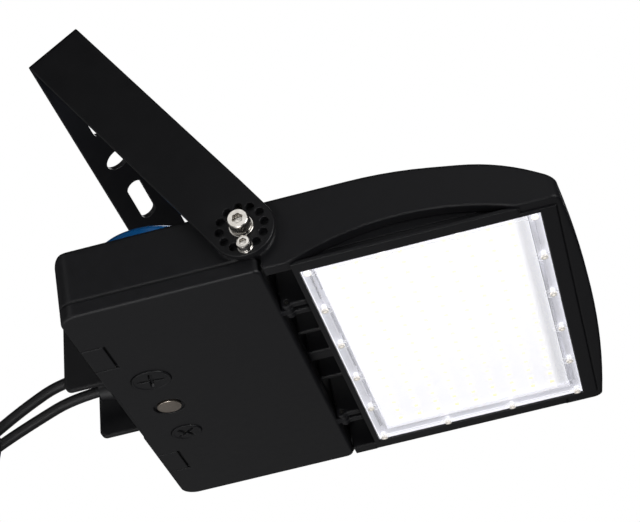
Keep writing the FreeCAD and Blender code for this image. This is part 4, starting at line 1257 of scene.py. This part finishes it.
def coil_points(top, side):
    """The control points of a hanging coil about an axis along X, and the end of the cable under it."""
    pitch = sizes().coil_pitch
    drop = sizes().jacket_diameter
    # A quadratic spline runs a little inside its points, so they stand that much further out.
    radius = sizes().coil_radius / math.cos(math.pi / POINTS_IN_TURN)
    centre = top + Vector((0, side * sizes().coil_radius, -drop))
    points = []
    for i in range(sizes().coil_turns * POINTS_IN_TURN + 1):
        turn = i / POINTS_IN_TURN
        angle = 2 * math.pi * turn
        points.append(
            centre + Vector((pitch * turn, -side * radius * math.cos(angle), -radius * math.sin(angle)))
        )
    end = top + Vector((pitch * sizes().coil_turns, 0, -2 * drop))
    return points, end, centre


def tie_strap(name, centre):
    """A nylon tie pulled round the turns at the top of a coil."""
    pitch = sizes().coil_pitch
    slack, thick, wide = 0.3 * MM, 1.2 * MM, 4.6 * MM
    reach = sizes().jacket_diameter / 2 + slack
    corner, corner_steps = 3.4 * MM, 6
    head_size = (4 * MM, wide + 1.4 * MM, 6 * MM)
    head_reach, head_edge = 1.9 * MM, 0.7 * MM
    # The cable first passes the top of its coil three quarters of a turn from the coil's start.
    first_pass = 0.75
    low = centre.x + first_pass * pitch - reach
    high = centre.x + (sizes().coil_turns - 1 + first_pass) * pitch + reach
    top = centre.z + sizes().coil_radius
    mesh = bmesh.new()
    loops = []
    for grow in (0.0, thick):
        outline = []
        for quarter, (cx, cz) in enumerate(
            (
                (high - corner, top + reach - corner),
                (low + corner, top + reach - corner),
                (low + corner, top - reach + corner),
                (high - corner, top - reach + corner),
            )
        ):
            for step in range(corner_steps + 1):
                angle = math.pi / 2 * (quarter + step / corner_steps)
                radius = corner + grow
                outline.append((cx + radius * math.cos(angle), cz + radius * math.sin(angle)))
        for way in (-1, 1):
            loops.append([mesh.verts.new((x, centre.y + way * wide / 2, z)) for x, z in outline])
    inner_near, inner_far, outer_near, outer_far = loops
    count = len(inner_near)
    for i in range(count):
        j = (i + 1) % count
        for a, b in (
            (inner_near, inner_far), (inner_far, outer_far), (outer_far, outer_near), (outer_near, inner_near)
        ):
            mesh.faces.new((a[i], a[j], b[j], b[i]))
    head = bmesh.ops.create_cube(mesh, size=1.0)["verts"]
    bmesh.ops.scale(mesh, vec=head_size, verts=head)
    bmesh.ops.translate(mesh, vec=(high + thick + head_reach, centre.y, top), verts=head)
    edges = list({edge for vert in head for edge in vert.link_edges})
    bmesh.ops.bevel(mesh, geom=edges, offset=head_edge, segments=2, affect="EDGES")
    piece = new_piece(name, mesh, black_nylon(), "head")
    return piece


class FLOODLIGHT_OT_cables(bpy.types.Operator):
    """Lays the two cables and their tied coils, and finishes their glands."""

    bl_idname = "floodlight.cables"
    bl_label = "Cables"

    def execute(self, context):
        plans = (
            ("power", POWER_ROUTE, -1, POWER_WIRES, POWER_LENGTH),
            ("control", CONTROL_ROUTE, 1, CONTROL_WIRES, CONTROL_LENGTH),
        )
        for name, route, side, wires, length in plans:
            route = [Vector(point) * MM for point in route]
            turns, end, centre = coil_points(route[-1], side)
            cable = nurbs(f"{name}_cord", [*route, *turns, end], sizes().jacket_diameter, jacket_pvc())
            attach(cable, "head")
            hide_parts(f"{name}_cable", f"{name}_coil")
            tie = tie_strap(f"{name}_coil_tie", centre)
            pieces = [tie]
            for i, (colour, hex_colour) in enumerate(wires):
                angle = 2 * math.pi * i / len(wires)
                spread = Vector((math.cos(angle), math.sin(angle), 0)) * WIRE_SPREAD
                down = Vector((0, 0, -sizes().lead_length))
                line = [end + spread + down * share + spread * gain for share, gain in WIRE_POINTS]
                lead = nurbs(
                    f"{name}_lead_{colour}", line, WIRE_DIAMETER, wire_insulation(colour, hex_colour)
                )
                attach(lead, "head")
                bare = (line[-1] - line[-2]).normalized()
                strands = [line[-1] + bare * step * MM for step in TIP_POINTS]
                tip = nurbs(f"{name}_tip_{colour}", strands, STRAND_DIAMETER, tinned_strands())
                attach(tip, "head")
                pieces += [lead, tip]
                if i == 0:
                    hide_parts(f"{name}_leads")
        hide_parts("cable_ties")
        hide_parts("bare_tips")
        for node in ("cable_glands", "gland_nuts", "gland_locknuts"):
            coat(node, black_nylon())
            soften(node, sizes().moulded_edge)
        return {"FINISHED"}


# The camera: its place, and its right and up directions, in the row frame.
CAMERA_PLACE = Vector((0.8579, -1.2290, -0.1855))
CAMERA_RIGHT = Vector((0.6367, 0.2080, 0.7425))
CAMERA_UP = Vector((-0.6073, -0.4581, 0.6491))
CAMERA_LENS = 113.1
CAMERA_SENSOR = 36.0

# The light is mounted on a wall, well above the floor.
FLOOR_CENTRE = (0.1, 0, -1.8)
FLOOR_RADIUS = 4.0

# How bright the backdrop looks, and how much of its light reaches the part.
BACKDROP_STRENGTH = 1.0
FILL_STRENGTH = 0.01

# Softboxes: name, place, aim, width, height and power.
SOFTBOXES = (
    ("key_softbox", (1.6, -1.4, 1.5), (0.15, 0.0, 0.0), 1.4, 1.4, 30.0),
    ("side_softbox", (-0.5, -1.8, 0.8), (0.2, -0.1, 0.0), 1.0, 1.0, 1.5),
    ("left_softbox", (-0.6, -1.5, -0.7), (0.2, -0.1, 0.0), 1.0, 0.6, 2.5),
    ("low_softbox", (0.95, -0.95, -0.6), (0.25, -0.1, 0.05), 0.8, 0.4, 4.0),
    ("far_softbox", (0.75, 1.4, -0.5), (0.2, 0.0, 0.0), 1.4, 0.9, 0.45),
    ("under_softbox", (0.7, -0.1, -1.0), (0.25, 0.0, 0.0), 0.8, 0.8, 2.0),
    ("rear_softbox", (-1.2, 1.6, 1.6), (0.1, 0.0, 0.0), 1.4, 1.4, 20.0),
)

# Softboxes that are flagged off everything but the bright metal.
METAL_SOFTBOXES = (
    ("bolt_softbox", (-0.55, -1.8, 0.35), (0.22, -0.17, 0.0), 1.4, 1.4, 7.0),
    ("barrel_softbox", (0.95, -0.95, -0.6), (0.22, -0.17, 0.0), 1.0, 0.8, 2.5),
    ("vent_softbox", (0.75, 1.4, -0.5), (0.2, 0.0, 0.0), 1.4, 0.9, 6.0),
)


def add_softbox(scene, name, place, aim, width, height, power):
    """Hangs one rectangular soft light that faces its aim."""
    light = bpy.data.lights.new(name, "AREA")
    light.shape = "RECTANGLE"
    light.size = width
    light.size_y = height
    light.energy = power
    lamp = bpy.data.objects.new(name, light)
    lamp.location = place
    lamp.rotation_euler = (Vector(aim) - Vector(place)).to_track_quat("-Z", "Y").to_euler()
    scene.collection.objects.link(lamp)
    return lamp


class FLOODLIGHT_OT_stage(bpy.types.Operator):
    """Sets the floor, the backdrop, the softboxes and the camera."""

    bl_idname = "floodlight.stage"
    bl_label = "Stage"

    def execute(self, context):
        scene = context.scene
        floor = bmesh.new()
        bmesh.ops.create_circle(floor, cap_ends=True, segments=96, radius=FLOOR_RADIUS)
        bmesh.ops.translate(floor, vec=FLOOR_CENTRE, verts=floor.verts)
        mesh = bpy.data.meshes.new("studio_floor")
        floor.to_mesh(mesh)
        floor.free()
        mesh.materials.append(studio_floor())
        piece = bpy.data.objects.new("studio_floor", mesh)
        scene.collection.objects.link(piece)

        world = bpy.data.worlds.new("studio")
        world.use_nodes = True
        tree = world.node_tree
        tree.nodes.clear()
        seen = add_node(
            tree, "ShaderNodeBackground", {"Color": linear("ffffff"), "Strength": BACKDROP_STRENGTH}
        )
        fill = add_node(
            tree, "ShaderNodeBackground", {"Color": linear("f4f6ff"), "Strength": FILL_STRENGTH}
        )
        ray = add_node(tree, "ShaderNodeLightPath")
        both = add_node(
            tree, "ShaderNodeMixShader",
            {0: ray.outputs["Is Camera Ray"], 1: fill.outputs[0], 2: seen.outputs[0]},
        )
        add_node(tree, "ShaderNodeOutputWorld", {"Surface": both.outputs[0]})
        scene.world = world

        for softbox in SOFTBOXES:
            add_softbox(scene, *softbox)
        bright_metal = bpy.data.collections.new(BRIGHT_METAL)
        for softbox in METAL_SOFTBOXES:
            add_softbox(scene, *softbox).light_linking.receiver_collection = bright_metal

        camera = bpy.data.objects.new("camera", bpy.data.cameras.new("camera"))
        back = CAMERA_RIGHT.cross(CAMERA_UP).normalized()
        up = back.cross(CAMERA_RIGHT).normalized()
        turn = Matrix((CAMERA_RIGHT.normalized(), up, back)).transposed()
        camera.matrix_world = Matrix.Translation(CAMERA_PLACE) @ turn.to_4x4()
        camera.data.lens = CAMERA_LENS
        camera.data.sensor_width = CAMERA_SENSOR
        scene.collection.objects.link(camera)
        scene.camera = camera
        scene.view_settings.view_transform = "Standard"
        return {"FINISHED"}


OPERATORS = (
    FLOODLIGHT_OT_stage,
    FLOODLIGHT_OT_cables,
    FLOODLIGHT_OT_yoke,
    FLOODLIGHT_OT_castings,
    FLOODLIGHT_OT_pivot_fasteners,
    FLOODLIGHT_OT_door_fittings,
    FLOODLIGHT_OT_lamp,
    FLOODLIGHT_OT_driver_gear,
    FLOODLIGHT_OT_photocontrol,
)


class FLOODLIGHT_PT_panel(bpy.types.Panel):
    """Lists the light's pieces, sizes and colours."""

    bl_idname = "FLOODLIGHT_PT_panel"
    bl_label = "Flood light"
    bl_space_type = "VIEW_3D"
    bl_region_type = "UI"
    bl_category = "Flood light"

    def draw(self, context):
        for operator in OPERATORS:
            self.layout.operator(operator.bl_idname)
        for group in (context.scene.flood_light_sizes, context.scene.flood_light_colours):
            for name in group.__annotations__:
                self.layout.prop(group, name)


CLASSES = (FloodLightColours, FloodLightSizes, *OPERATORS, FLOODLIGHT_PT_panel)


def register():
    for item in CLASSES:
        bpy.utils.register_class(item)
    bpy.types.Scene.flood_light_colours = PointerProperty(type=FloodLightColours)
    bpy.types.Scene.flood_light_sizes = PointerProperty(type=FloodLightSizes)


def unregister():
    del bpy.types.Scene.flood_light_sizes
    del bpy.types.Scene.flood_light_colours
    for item in reversed(CLASSES):
        bpy.utils.unregister_class(item)


def main():
    register()
    bpy.ops.floodlight.stage()
    bpy.ops.floodlight.cables()
    bpy.ops.floodlight.yoke()
    bpy.ops.floodlight.castings()
    bpy.ops.floodlight.pivot_fasteners()
    bpy.ops.floodlight.door_fittings()
    bpy.ops.floodlight.lamp()
    bpy.ops.floodlight.driver_gear()
    bpy.ops.floodlight.photocontrol()


if __name__ == "__main__":
    main()
